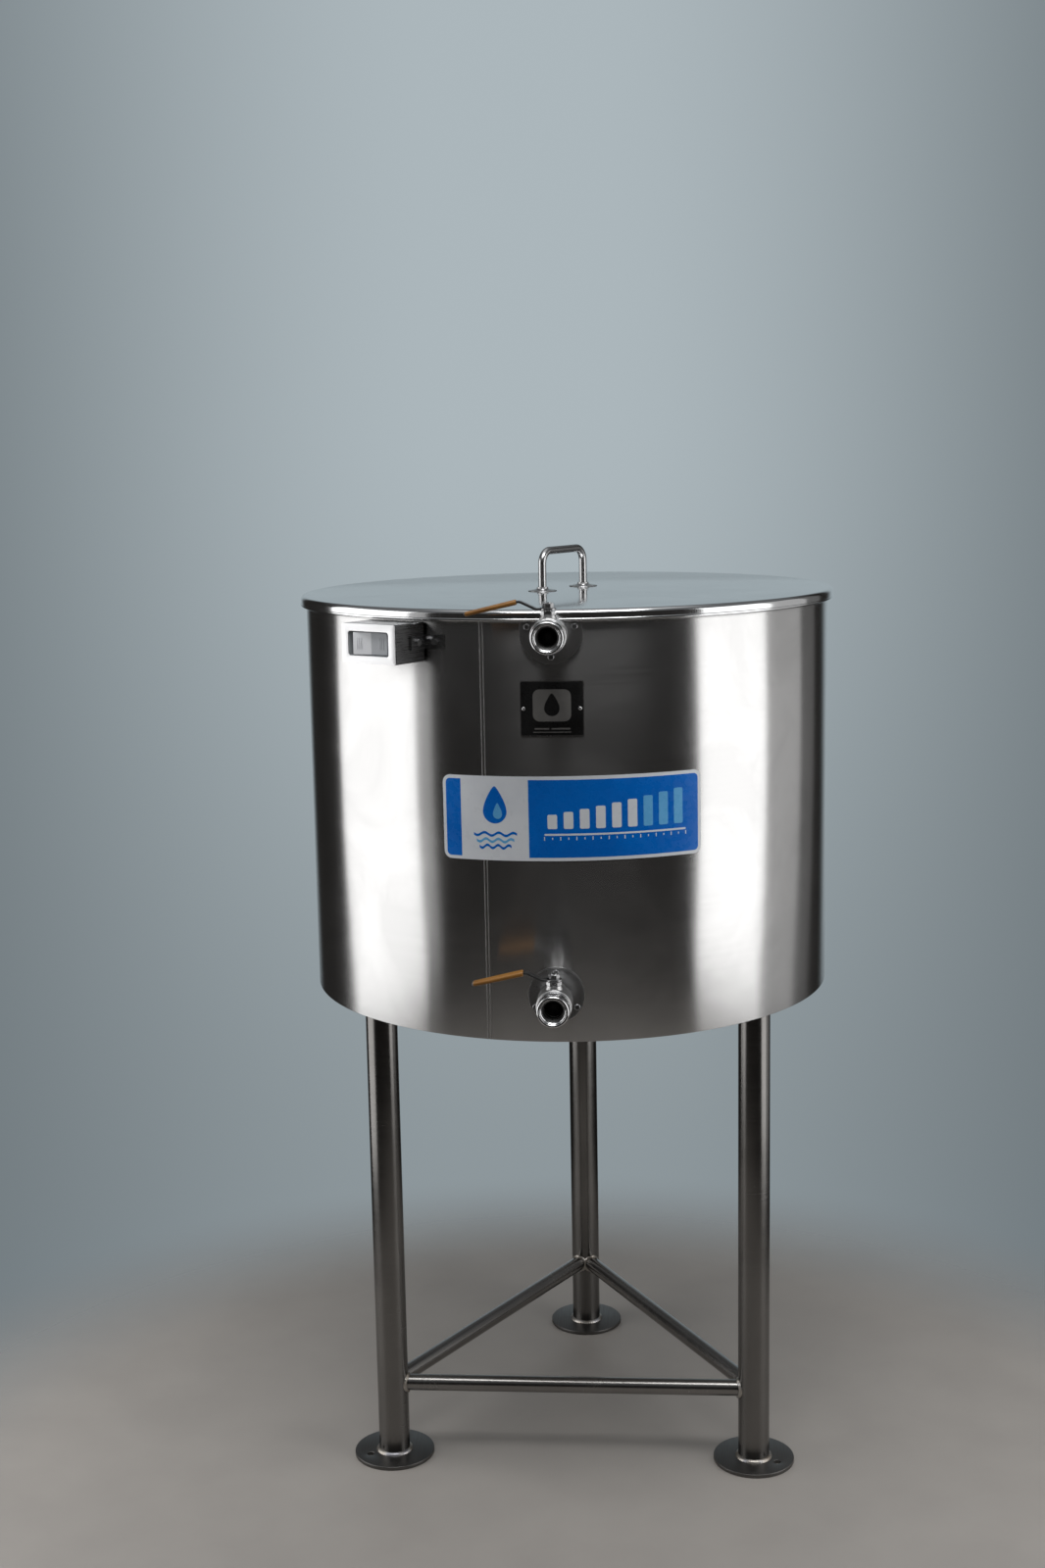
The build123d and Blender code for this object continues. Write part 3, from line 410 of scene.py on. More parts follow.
def roundBead(radius, centre, segments, steps):
    # a bead of round section about Z
    bead = bmesh.new()
    bmesh.ops.create_circle(bead, segments=segments, radius=radius,
                            matrix=Matrix.Translation(centre) @ Matrix.Rotation(pi / 2, 4, "X"))
    bmesh.ops.spin(bead, geom=list(bead.verts) + list(bead.edges), cent=(0, 0, 0), axis=(0, 0, 1),
                   angle=2 * pi, steps=steps, use_merge=True, use_duplicate=False)
    bmesh.ops.remove_doubles(bead, verts=bead.verts, dist=1e-6)
    return bead


def cutAcross(mesh, place, normal, **settings):
    every = list(mesh.verts) + list(mesh.edges) + list(mesh.faces)
    bmesh.ops.bisect_plane(mesh, geom=every, dist=1e-7, plane_co=place, plane_no=normal, **settings)


def moveMesh(mesh, matrix):
    bmesh.ops.transform(mesh, matrix=matrix, verts=mesh.verts)


def newVerts(result):
    return [part for part in result["geom"] if isinstance(part, bmesh.types.BMVert)]


def joinInto(target, source, place=None):
    # adds one bmesh to another, moved to its place
    if place is not None:
        moveMesh(source, place)
    data = bpy.data.meshes.new("passing")
    source.to_mesh(data)
    source.free()
    target.from_mesh(data)
    bpy.data.meshes.remove(data)


def roundedOutline(width, height, radius, segments=6, side=0):
    # with a side of -1 or 1, only the corners on the left or on the right are rounded
    mesh = bmesh.new()
    bmesh.ops.create_grid(mesh, x_segments=1, y_segments=1, size=0.5)
    bmesh.ops.scale(mesh, vec=(width, height, 1), verts=mesh.verts)
    if radius > 0:
        corners = [vert for vert in mesh.verts if side == 0 or vert.co.x * side > 0]
        bmesh.ops.bevel(mesh, geom=corners, offset=radius, segments=segments, profile=0.5,
                        affect="VERTICES", material=-1)
    bmesh.ops.delete(mesh, geom=list(mesh.faces), context="FACES_ONLY")
    return mesh


def circleOutline(radius, segments=64):
    mesh = bmesh.new()
    bmesh.ops.create_circle(mesh, cap_ends=False, segments=segments, radius=radius)
    return mesh


def sheetFrom(outlines, thickness):
    # a flat sheet in XY, from its outer outline and its holes, thickened along +Z
    mesh = bmesh.new()
    for outline in outlines:
        joinInto(mesh, outline)
    bmesh.ops.triangle_fill(mesh, edges=mesh.edges, use_beauty=True, use_dissolve=False)
    lifted = bmesh.ops.extrude_face_region(mesh, geom=list(mesh.faces), use_keep_orig=True)
    bmesh.ops.translate(mesh, vec=(0, 0, thickness), verts=newVerts(lifted))
    bmesh.ops.recalc_face_normals(mesh, faces=mesh.faces)
    return mesh


def wrapSheet(mesh, radius, azimuth, height, spacing=0.008):
    # lays a flat sheet round the drum: X goes round, Y goes up and Z goes outward
    reach = max(abs(vert.co.x) for vert in mesh.verts)
    cut = -reach + spacing
    while cut < reach - spacing * 0.5:
        cutAcross(mesh, (cut, 0, 0), (1, 0, 0))
        cut += spacing
    for vert in mesh.verts:
        turn = azimuth + vert.co.x / radius
        far = radius + vert.co.z
        vert.co = (far * sin(turn), -far * cos(turn), height + vert.co.y)


drumBox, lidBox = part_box("outer_shell"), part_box("lid_cover")
drumLow, drumTop = drumBox[0].z, drumBox[1].z
drumRadius = (drumBox[1].x - drumBox[0].x) / 2
lidRadius = (lidBox[1].x - lidBox[0].x) / 2


# the drum's skin and its seam
drumShape = {"wall": 0.0015, "edge": 0.0006, "steps": 288}
seamShape = {"azimuth": -13.85, "ridge": 0.0016, "apart": 0.0043, "proud": 0.0004, "shorter": 0.004,
             "edge": 0.00018, "spacing": 0.001}


def makeDrum():
    shell = spinTube(drumRadius - drumShape["wall"], drumRadius, drumLow, drumTop, drumShape["steps"])
    roundEdges(shell, drumShape["edge"], 2, 60)
    makePiece("drumSkin", shell, "drumSkin", "tank", ("outer_shell",))
    s = seamShape
    seam = bmesh.new()
    for side in (-0.5, 0.5):
        strip = sheetFrom([roundedOutline(s["ridge"], drumTop - drumLow - s["shorter"], 0)], s["proud"])
        roundEdges(strip, s["edge"], 2, 60)
        bmesh.ops.translate(strip, vec=(side * s["apart"], 0, 0), verts=strip.verts)
        wrapSheet(strip, drumRadius, radians(s["azimuth"]), (drumLow + drumTop) / 2, s["spacing"])
        joinInto(seam, strip)
    makePiece("drumSeam", seam, "seamSkin", "tank")


makeDrum()


# the lid with its pan, gasket and handle
lidShape = {"sheet": 0.0015, "shoulder": 0.007, "hem": 0.0024, "skirtInset": 0.0008, "steps": 288,
            "panWall": 0.0012, "panCorner": 0.0035, "panSteps": 192}
sealShape = {"width": 0.014, "groove": 0.0012, "side": 0.001, "edge": 0.0005, "steps": 192}
handleShape = {"rod": 0.006, "bend": 0.020, "turn": 60.5, "half": 0.058, "sides": 32, "lift": 0.0005,
               "bendSteps": 14}
flangeShape = {"disc": 0.022, "hub": 0.0085, "rod": 0.00605, "rim": 0.0008, "rise": 0.0026, "height": 0.006,
               "edge": 0.0005}


def makeLid():
    low, top = lidBox[0].z, lidBox[1].z
    sheet, skirt, hem = lidShape["sheet"], lidRadius - lidShape["skirtInset"], lidShape["hem"]
    cover = spinShape([(0, top), (skirt, top), (skirt, low + hem), (skirt - sheet, low + hem),
                       (skirt - sheet, top - sheet), (0, top - sheet)], lidShape["steps"], closed=False)
    shoulder = [edge for edge in cover.edges
                if all(v.co.z > top - 2 * sheet and v.co.xy.length > skirt - 2 * sheet for v in edge.verts)]
    outer = [edge for edge in shoulder if all(v.co.z > top - sheet / 2 for v in edge.verts)]
    inner = [edge for edge in shoulder if all(v.co.z < top - sheet / 2 for v in edge.verts)]
    roundEdges(cover, lidShape["shoulder"], 7, 60, outer)
    roundEdges(cover, lidShape["shoulder"] - sheet, 5, 60, [edge for edge in inner if edge.is_valid])
    joinInto(cover, roundBead(hem, (lidRadius - hem, 0, low + hem), 20, lidShape["steps"]))
    makePiece("lidCover", cover, "lidSkin", "lid", ("lid_cover",))


def makePan():
    low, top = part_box("lid_pan")
    reach, wall = top.x, lidShape["panWall"]
    pan = spinShape([(0, low.z), (reach, low.z), (reach, top.z), (reach - wall, top.z),
                     (reach - wall, low.z + wall), (0, low.z + wall)], lidShape["panSteps"], closed=False)
    corner = [edge for edge in pan.edges if all(v.co.z < low.z + wall / 2 for v in edge.verts)]
    roundEdges(pan, lidShape["panCorner"], 4, 60, corner)
    makePiece("lidPan", pan, "vesselSkin", "lid", ("lid_pan",))


def makeSeal():
    # a flat ring with two lips below, and a groove between them
    low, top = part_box("lid_gasket")
    reach, width = top.x, sealShape["width"]
    side, groove = low.z + sealShape["side"], low.z + sealShape["groove"]
    lips = [(reach - width, top.z), (reach - width, side), (reach - width * 0.86, low.z),
            (reach - width * 0.64, groove), (reach - width * 0.36, groove),
            (reach - width * 0.14, low.z), (reach, side), (reach, top.z)]
    seal = spinShape(lips, sealShape["steps"])
    roundEdges(seal, sealShape["edge"], 2, 20)
    makePiece("lidGasket", seal, "whiteRubber", "lid", ("lid_gasket",))


def sweepRing(mesh, ring, moves):
    # carries a ring of edges along straight runs and bends, and gives the last ring
    for kind, *how in moves:
        if kind == "go":
            grown = bmesh.ops.extrude_edge_only(mesh, edges=ring)["geom"]
            bmesh.ops.translate(mesh, vec=how[0], verts=newVerts({"geom": grown}))
        else:
            centre, axis, angle, steps = how
            grown = bmesh.ops.spin(mesh, geom=ring, cent=centre, axis=axis, angle=angle, steps=steps,
                                   use_duplicate=False)["geom_last"]
        ring = [part for part in grown if isinstance(part, bmesh.types.BMEdge)]
    return ring


def makeHandle():
    low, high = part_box("lid_handle")
    base, top = lidBox[1].z + handleShape["lift"], high.z - handleShape["rod"]
    half, bend, steps = handleShape["half"], handleShape["bend"], handleShape["bendSteps"]
    rod = bmesh.new()
    bmesh.ops.create_circle(rod, cap_ends=True, segments=handleShape["sides"], radius=handleShape["rod"],
                            matrix=Matrix.Translation((-half, 0, base)))
    ring = list(rod.edges)
    ring = sweepRing(rod, ring, [
        ("go", (0, 0, top - bend - base)),
        ("turn", (-half + bend, 0, top - bend), (0, 1, 0), pi / 2, steps),
        ("go", (2 * (half - bend), 0, 0)),
        ("turn", (half - bend, 0, top - bend), (0, 1, 0), pi / 2, steps),
        ("go", (0, 0, base - top + bend)),
    ])
    bmesh.ops.holes_fill(rod, edges=ring, sides=0)
    bmesh.ops.remove_doubles(rod, verts=rod.verts, dist=1e-7)
    place = Matrix.Translation(((low.x + high.x) / 2, (low.y + high.y) / 2, 0))
    place = place @ Matrix.Rotation(radians(handleShape["turn"]), 4, "Z")
    moveMesh(rod, place)
    makePiece("lidHandle", rod, "polishedRod", "lid", ("lid_handle",))
    f = flangeShape
    flanges = bmesh.new()
    for side in (-1, 1):
        foot = spinShape([(f["rod"], 0), (f["disc"], 0), (f["disc"], f["rim"]), (f["disc"] * 0.86, f["rim"] * 1.9),
                          (f["hub"] + 0.003, f["rise"]), (f["hub"], f["rise"] + 0.0012), (f["hub"], f["height"]),
                          (f["rod"], f["height"])], 72)
        roundEdges(foot, f["edge"], 2, 25)
        joinInto(flanges, foot, place @ Matrix.Translation((side * half, 0, lidBox[1].z)))
    makePiece("handleFlanges", flanges, "discSteel", "lid", ("handle_flanges",))


makeLid()
makePan()
makeSeal()
makeHandle()
print("stage: drum and lid are made")


# the stand
standShape = {"legWall": 0.002, "legSteps": 64, "footHole": 0.0055, "holeReach": 0.041, "footEdge": 0.0009,
              "braceRadius": 0.0125, "braceWall": 0.0015, "braceZ": 0.118, "braceSteps": 48}
weldShape = {"size": 0.004, "braceWaves": 24, "braceDepth": 0.16, "legWaves": 44, "legDepth": 0.14,
             "braceSteps": 72, "legSteps": 144}
legSides = ("left", "right", "back")
braceEnds = {"front": ("left", "right"), "right": ("right", "back"), "left": ("back", "left")}


def legCentre(side):
    low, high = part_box(f"leg_{side}")
    return (low + high) / 2


def legRadius(side):
    low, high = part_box(f"leg_{side}")
    return (high.x - low.x) / 2


def makeStand():
    for side in legSides:
        low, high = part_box(f"leg_{side}")
        centre, radius = legCentre(side), legRadius(side)
        place = Matrix.Translation((centre.x, centre.y, 0))
        tube = spinTube(radius - standShape["legWall"], radius, low.z, high.z, standShape["legSteps"])
        moveMesh(tube, place)
        title = side.capitalize()
        makePiece(f"leg{title}", tube, "legTube", "tank", (f"leg_{side}",))
        low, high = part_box(f"foot_plate_{side}")
        hole = circleOutline(standShape["footHole"], 28)
        outward = Vector((centre.x, centre.y, 0)).normalized() * standShape["holeReach"]
        bmesh.ops.translate(hole, vec=outward, verts=hole.verts)
        plate = sheetFrom([circleOutline((high.x - low.x) / 2, 96), hole], high.z - low.z)
        roundEdges(plate, standShape["footEdge"], 3, 60)
        moveMesh(plate, place)
        makePiece(f"footPlate{title}", plate, "footPlate", "tank", (f"foot_plate_{side}",))


def beadRipple(mesh, waves, depth):
    # the overlapping ripples that a welder leaves round a joint, as a small swell about Z
    for vert in mesh.verts:
        turn = atan2(vert.co.y, vert.co.x)
        saw = (turn * waves / (2 * pi)) % 1.0
        lift = depth * weldShape["size"] * (1 - (2 * saw - 1) ** 2)
        vert.co.xy = vert.co.xy * (1 + lift / vert.co.xy.length)


def braceParts(start, end):
    # a brace tube and its two weld beads, fitted to the legs
    along, middle = end - start, (start + end) / 2
    span, radius = along.length, standShape["braceRadius"]
    size, reach = weldShape["size"], legRadius("left")
    frameTurn = Matrix.Translation(middle) @ along.to_track_quat("Z", "Y").to_matrix().to_4x4()
    sideways = Vector((-along.y, along.x, 0)).normalized()
    tube = spinTube(radius - standShape["braceWall"], radius, -span / 2, span / 2, standShape["braceSteps"])

    def fitEnds(mesh, lift):
        # pulls both ends back to the legs' round sides
        for vert in mesh.verts:
            side = 1 if vert.co.z > 0 else -1
            offset = (frameTurn @ vert.co - middle).dot(sideways)
            saddle = sqrt(max(reach ** 2 - offset ** 2, 0))
            vert.co.z = side * (span / 2 - saddle) + lift(vert, side)

    fitEnds(tube, lambda vert, side: 0)
    beads = []
    for side in (-1, 1):
        middleZ = side * 0.0005  # only tells the two ends apart
        bead = roundBead(size * 0.62, (radius + size * 0.15, 0, middleZ), 12, weldShape["braceSteps"])
        beadRipple(bead, weldShape["braceWaves"], weldShape["braceDepth"])
        heights = {vert: vert.co.z - middleZ for vert in bead.verts}
        for vert in bead.verts:
            vert.co.z = middleZ
        fitEnds(bead, lambda vert, way: heights[vert] - way * size * 0.15)
        beads.append(bead)
    for mesh in [tube] + beads:
        moveMesh(mesh, frameTurn)
    return tube, beads


def makeBraces():
    welds = bmesh.new()
    for name, ends in braceEnds.items():
        start, end = (legCentre(side) for side in ends)
        start.z = end.z = standShape["braceZ"]
        tube, beads = braceParts(start, end)
        makePiece(f"brace{name.capitalize()}", tube, "braceTube", "tank", (f"brace_{name}",))
        for bead in beads:
            joinInto(welds, bead)
    size = weldShape["size"]
    for side in legSides:
        centre, radius = legCentre(side), legRadius(side)
        low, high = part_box(f"leg_{side}")
        inner = radius - 0.0002  # a little into the leg
        for z, way in ((low.z, 1), (high.z, -1)):
            bead = spinShape([(inner, z), (radius + size, z), (radius + size * 0.82, z + way * size * 0.45),
                              (radius + size * 0.45, z + way * size * 0.82), (inner, z + way * size)],
                             weldShape["legSteps"])
            beadRipple(bead, weldShape["legWaves"], weldShape["legDepth"])
            joinInto(welds, bead, Matrix.Translation((centre.x, centre.y, 0)))
    makePiece("frameWelds", welds, "weldBead", "tank", ("frame_welds",), sharp=60)


makeStand()
makeBraces()
print("stage: stand is made")


# the two ball valves
valveShape = {"octagon": 0.042, "bore": 0.0125, "socket": 0.01515, "half": 0.038, "barrel": 0.0245,
              "barrelWall": 0.005, "seatFace": 0.0155, "reach": 0.45005, "ballShift": 0.00007, "steps": 80}
capShape = {"sleeveFrom": 0.0045, "mouth": 0.0028, "lip": 0.0219, "lipDepth": 0.0075, "lipEdge": 0.0012,
            "collarInset": 0.0015, "collarFrom": 0.0001, "collarTo": 0.0055}
threadShape = {"pitch": 0.0023, "depth": 0.0011, "from": 0.0155, "count": 5, "steps": 56}
ribShape = {"half": 0.0025, "proud": 0.00005, "sunk": 0.001}
towerShape = {"stemBore": 0.0053, "low": 0.019, "boss": 0.010, "top": 0.028, "packing": 0.0074,
              "packingDepth": 0.006, "steps": 56}
plateShape = {"pipe": 0.0141, "thickness": 0.003, "standoff": 0.0011, "edge": 0.0006, "spacing": 0.004}
leverShape = {"width": 0.014, "thickness": 0.003, "eye": 0.011, "stemHole": 0.00405, "flat": 0.016,
              "bendX": 0.038, "bendRise": 0.0105, "reach": 0.112, "tipDrop": 0.006, "bendRadius": 0.008,
              "aboveTower": 0.006, "start": 0.004, "edge": 0.0005}
gripShape = {"width": 0.0165, "thickness": 0.0070, "length": 0.0705, "corner": 0.46, "endEdge": 0.0016,
             "shortOfTip": 0.0015, "slices": 12}


def octagonSleeve(low, high, bore):
    # an octagonal sleeve along +Z with a round bore
    outline = bmesh.new()
    bmesh.ops.create_circle(outline, segments=8, radius=valveShape["octagon"] / 2 / cos(pi / 8),
                            matrix=Matrix.Rotation(pi / 8, 4, "Z"))
    sleeve = sheetFrom([outline, circleOutline(bore, 56)], high - low)
    bmesh.ops.translate(sleeve, vec=(0, 0, low), verts=sleeve.verts)
    return sleeve


def threadRidges(low):
    # the crests of the pipe thread inside a socket
    root, pitch = valveShape["socket"] + 0.0001, threadShape["pitch"]
    crest = valveShape["socket"] - threadShape["depth"]
    ridges = bmesh.new()
    for turn in range(threadShape["count"]):
        z = low + pitch * turn
        ridge = spinShape([(root, z), (root, z + pitch * 0.98), (crest, z + pitch * 0.6), (crest, z + pitch * 0.4)],
                          threadShape["steps"])
        joinInto(ridges, ridge)
    return ridges


def makeCap(name, here):
    # the octagon, the turned lip, the threaded socket, and the collar that closes the barrel
    v, c = valveShape, capShape
    socket, half, lip, seat = v["socket"], v["half"], c["lip"], v["seatFace"]
    cap = octagonSleeve(seat + c["sleeveFrom"], half - c["mouth"], socket)
    roundEdges(cap, 0.0007, 2, 25)
    rim = spinShape([(socket, half - c["lipDepth"]), (lip, half - c["lipDepth"]), (lip, half - c["lipEdge"]),
                     (lip - c["lipEdge"], half), (socket + 0.0034, half), (socket + 0.0028, half - 0.0008),
                     (socket + 0.0019, half - 0.0008), (socket, half - c["mouth"])], v["steps"])
    roundEdges(rim, 0.0003, 2, 25)
    joinInto(cap, rim)
    outer, low, high = v["barrel"] - c["collarInset"], seat + c["collarFrom"], seat + c["collarTo"]
    collar = spinTube(v["bore"], outer, low, high, v["steps"])
    roundEdges(collar, 0.0008, 3, 60)
    joinInto(cap, collar)
    joinInto(cap, threadRidges(half - threadShape["from"]))
    # faces inside the socket take the second, near-black finish: painted shade for the dark bore
    for face in cap.faces:
        middle = face.calc_center_median()
        inside = middle.xy.length < socket + 0.0003 and middle.z < half - 0.0026
        face.material_index = int(inside)
    moveMesh(cap, here)
    makePiece(f"{name}ValveCap", cap, ("turnedSteel", "paintedShadeBore"), "tank", (f"{name}_valve_cap",))


def makeValveBody(name, here, middle):
    # the barrel with its rib, the back octagon, and the tower round the stem
    v, t, r = valveShape, towerShape, ribShape
    outer, wall, seat = v["barrel"], v["barrelWall"], v["seatFace"]
    barrel = spinTube(outer - wall, outer, -seat - wall, seat, v["steps"])
    roundEdges(barrel, 0.0022, 4, 60)
    joinInto(barrel, octagonSleeve(-v["half"], -seat, v["socket"]))
    joinInto(barrel, spinTube(outer - r["sunk"], outer + r["proud"], -r["half"], r["half"], v["steps"]))
    moveMesh(barrel, here)
    bore, boss, top, packing = t["stemBore"], t["boss"], t["top"], t["packing"]
    shelf = top - t["packingDepth"]
    tower = spinShape([(bore, t["low"]), (boss + 0.0022, t["low"]), (boss + 0.0008, 0.0245), (boss, 0.0262),
                       (boss, top), (packing, top), (packing, shelf), (bore, shelf)], t["steps"])
    roundEdges(tower, 0.0005, 2, 40)
    joinInto(barrel, tower, middle)
    makePiece(f"{name}ValveBody", barrel, "castSteel", "tank", (f"{name}_valve_body",))


def makeWallPlate(name, axisZ, cutTop):
    # the round plate on the drum; the upper one is cut off straight under the lid
    p = plateShape
    low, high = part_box(f"{name}_plate")
    plate = sheetFrom([circleOutline((high.x - low.x) / 2, 96), circleOutline(p["pipe"], 48)], p["thickness"])
    if cutTop:
        cutAcross(plate, (0, high.z - axisZ, 0), (0, 1, 0), clear_outer=True)
        bmesh.ops.holes_fill(plate, edges=[edge for edge in plate.edges if edge.is_boundary], sides=0)
    roundEdges(plate, p["edge"], 2, 60)
    wrapSheet(plate, drumRadius + p["standoff"], 0.0, axisZ, p["spacing"])
    makePiece(f"{name}WallPlate", plate, "discSteel", "tank", (f"{name}_plate",))


def bendAt(corner, before, after, radius):
    # a bend of fixed radius where two straight runs meet: how far back it starts, and its turn
    u, w = (corner - before).normalized(), (after - corner).normalized()
    angle = u.angle(w)
    axis = u.cross(w).normalized()
    back = radius * abs(sin(angle / 2) / cos(angle / 2))
    centre = corner - u * back + axis.cross(u) * radius
    return back, centre, axis, angle


def makeLever(name, place):
    s = leverShape
    thick = s["thickness"]
    z = towerShape["top"] + s["aboveTower"] + thick / 2
    start, root = Vector((0, 0, z)), Vector((-s["flat"], 0, z))
    bend = Vector((-s["bendX"], 0, z + s["bendRise"]))
    tip = Vector((-s["reach"], 0, z - s["tipDrop"]))
    strip = bmesh.new()
    bmesh.ops.create_grid(strip, x_segments=1, y_segments=1, size=0.5)
    bmesh.ops.scale(strip, vec=(thick, s["width"], 1), verts=strip.verts)
    bmesh.ops.rotate(strip, cent=(0, 0, 0), matrix=Matrix.Rotation(pi / 2, 3, "Y"), verts=strip.verts)
    bmesh.ops.translate(strip, vec=(-s["start"], 0, z), verts=strip.verts)
    firstBack, firstCentre, firstAxis, firstAngle = bendAt(root, start, bend, s["bendRadius"])
    nextBack, nextCentre, nextAxis, nextAngle = bendAt(bend, root, tip, s["bendRadius"])
    ring = sweepRing(strip, list(strip.edges), [
        ("go", root - start + Vector((s["start"], 0, 0)) - (root - start).normalized() * firstBack),
        ("turn", firstCentre, firstAxis, firstAngle, 6),
        ("go", (bend - root) - (bend - root).normalized() * (firstBack + nextBack)),
        ("turn", nextCentre, nextAxis, nextAngle, 8),
        ("go", (tip - bend) - (tip - bend).normalized() * nextBack),
    ])
    bmesh.ops.holes_fill(strip, edges=ring, sides=0)
    bmesh.ops.recalc_face_normals(strip, faces=strip.faces)
    roundEdges(strip, s["edge"], 2, 60)
    eye = spinTube(s["stemHole"], s["eye"], z - thick / 2, z + thick / 2, 64)
    roundEdges(eye, s["edge"], 2, 60)
    joinInto(strip, eye)
    moveMesh(strip, place)
    makePiece(f"{name}Lever", strip, "stripSteel", f"{name}_lever", (f"{name}_valve_lever",))
    makeGrip(name, place, bend, tip)


def makeGrip(name, place, bend, tip):
    # the dipped grip: a soft-edged sleeve, fuller near the bend and rounded at its ends
    g = gripShape
    along = (tip - bend).normalized()
    sleeve = bmesh.new()
    bmesh.ops.create_cube(sleeve, size=1.0)
    bmesh.ops.scale(sleeve, vec=(g["width"], g["thickness"], g["length"]), verts=sleeve.verts)
    longEdges = [edge for edge in sleeve.edges if abs(edge.verts[0].co.z - edge.verts[1].co.z) > 0.01]
    bmesh.ops.bevel(sleeve, geom=longEdges, offset=g["thickness"] * g["corner"], segments=6, profile=0.5,
                    affect="EDGES", material=-1)
    roundEdges(sleeve, g["endEdge"], 4, 50)
    for cut in range(1 - g["slices"] // 2, g["slices"] // 2):
        cutAcross(sleeve, (0, 0, cut * g["length"] / g["slices"]), (0, 0, 1))
    for vert in sleeve.verts:
        share = vert.co.z / (g["length"] / 2)
        vert.co.x *= 1.0 - 0.04 * share ** 2
        vert.co.y *= 0.90 - 0.09 * share
    centre = tip - along * g["shortOfTip"] - along * g["length"] / 2
    lay = Matrix.Translation(centre) @ along.to_track_quat("Z", "X").to_matrix().to_4x4()
    if abs((lay.to_3x3() @ Vector((1, 0, 0))).y) < 0.5:
        lay = lay @ Matrix.Rotation(pi / 2, 4, "Z")  # the wide way lies level
    moveMesh(sleeve, place @ lay)
    makePiece(f"{name}Grip", sleeve, "ochreVinyl", f"{name}_lever", (f"{name}_valve_grip",), sharp=50)


def makeValve(name, cutTop):
    low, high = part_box(f"{name}_valve_ball")
    axisZ = (low.z + high.z) / 2 + valveShape["ballShift"]
    middle = Matrix.Translation((0, -valveShape["reach"], axisZ))
    here = middle @ frontFacing
    makeCap(name, here)
    makeValveBody(name, here, middle)
    makeWallPlate(name, axisZ, cutTop)
    makeLever(name, middle)


makeValve("inlet", True)
makeValve("outlet", False)
print("stage: valves are made")


# the switch box's cover and rocker
boxShape = {"azimuth": -32.8, "width": 0.095, "height": 0.0545, "corner": 0.0015, "front": 0.463, "cover": 0.002,
            "edge": 0.0005, "window": (0.073, 0.034), "windowCorner": 0.004}
rockerShape = {"pivotDepth": 0.013, "half": 0.0285, "height": 0.0305, "dip": 0.0075, "tilt": 6.0, "skirt": 0.0045,
               "back": 0.003, "backHalf": 0.009, "edge": 0.0007, "pin": 0.0025, "pinHalf": 0.0177}
ridgeShape = {"middle": 0.019, "apart": 0.0032, "size": (0.0012, 0.0012, 0.016), "edge": 0.0003, "sunk": 0.0001}


def rockerMesh():
    # a shallow roof with a pin through it and three finger ridges on each half
    r, k = rockerShape, ridgeShape
    half, dip, back = r["half"], r["dip"], r["backHalf"]
    rise = half * sin(radians(r["tilt"])) / cos(radians(r["tilt"]))
    outline = [(-half, -dip - rise), (0, -dip), (half, -dip - rise), (half, -r["skirt"]), (back, r["back"]),
               (-back, r["back"]), (-half, -r["skirt"])]
    rocker = bmesh.new()
    rocker.faces.new([rocker.verts.new((x, y, -r["height"] / 2)) for x, y in outline])
    lifted = bmesh.ops.extrude_face_region(rocker, geom=list(rocker.faces), use_keep_orig=True)
    bmesh.ops.translate(rocker, vec=(0, 0, r["height"]), verts=newVerts(lifted))
    bmesh.ops.recalc_face_normals(rocker, faces=rocker.faces)
    roundEdges(rocker, r["edge"], 3, 20)
    pin, end = r["pin"], r["pinHalf"]
    joinInto(rocker, spinShape([(0, -end), (pin, -end), (pin, end), (0, end)], 32, closed=False))
    for middle in (-k["middle"], k["middle"]):
        for step in range(-1, 2):
            ridge = bmesh.new()
            bmesh.ops.create_cube(ridge, size=1.0)
            bmesh.ops.scale(ridge, vec=k["size"], verts=ridge.verts)
            roundEdges(ridge, k["edge"], 2, 60)
            x = middle + step * k["apart"]
            y = -dip - rise * abs(x) / half
            joinInto(rocker, ridge, Matrix.Translation((x, y - k["sunk"], 0)))
    # the +X half takes the grey copy of the pale plastic as painted shade; the -X half takes the bright copy,
    # partly painted light
    for face in rocker.faces:
        face.material_index = int(face.calc_center_median().x > 0.0002)
    return rocker


def makeSwitch():
    b, r = boxShape, rockerShape
    low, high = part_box("box_cover")
    axisZ = (low.z + high.z) / 2
    turnBox = Matrix.Rotation(radians(b["azimuth"]), 4, "Z")
    cover = sheetFrom([roundedOutline(b["width"], b["height"], b["corner"], 4),
                       roundedOutline(*b["window"], b["windowCorner"])], b["cover"])
    roundEdges(cover, b["edge"], 3, 60)
    place = turnBox @ Matrix.Translation((0, -b["front"] + b["cover"], axisZ)) @ frontFacing
    moveMesh(cover, place)
    makePiece("boxCover", cover, "coverSkin", "tank", ("box_cover",))
    rocker = rockerMesh()
    pivot = turnBox @ Matrix.Translation((0, -b["front"] + r["pivotDepth"], axisZ))
    moveMesh(rocker, pivot @ Matrix.Rotation(radians(r["tilt"]), 4, "Z"))
    makePiece("switchRocker", rocker, ("rockerPaleLit", "rockerShadedHalf"), "rocker", ("switch_rocker",))


makeSwitch()
print("stage: switch is made")


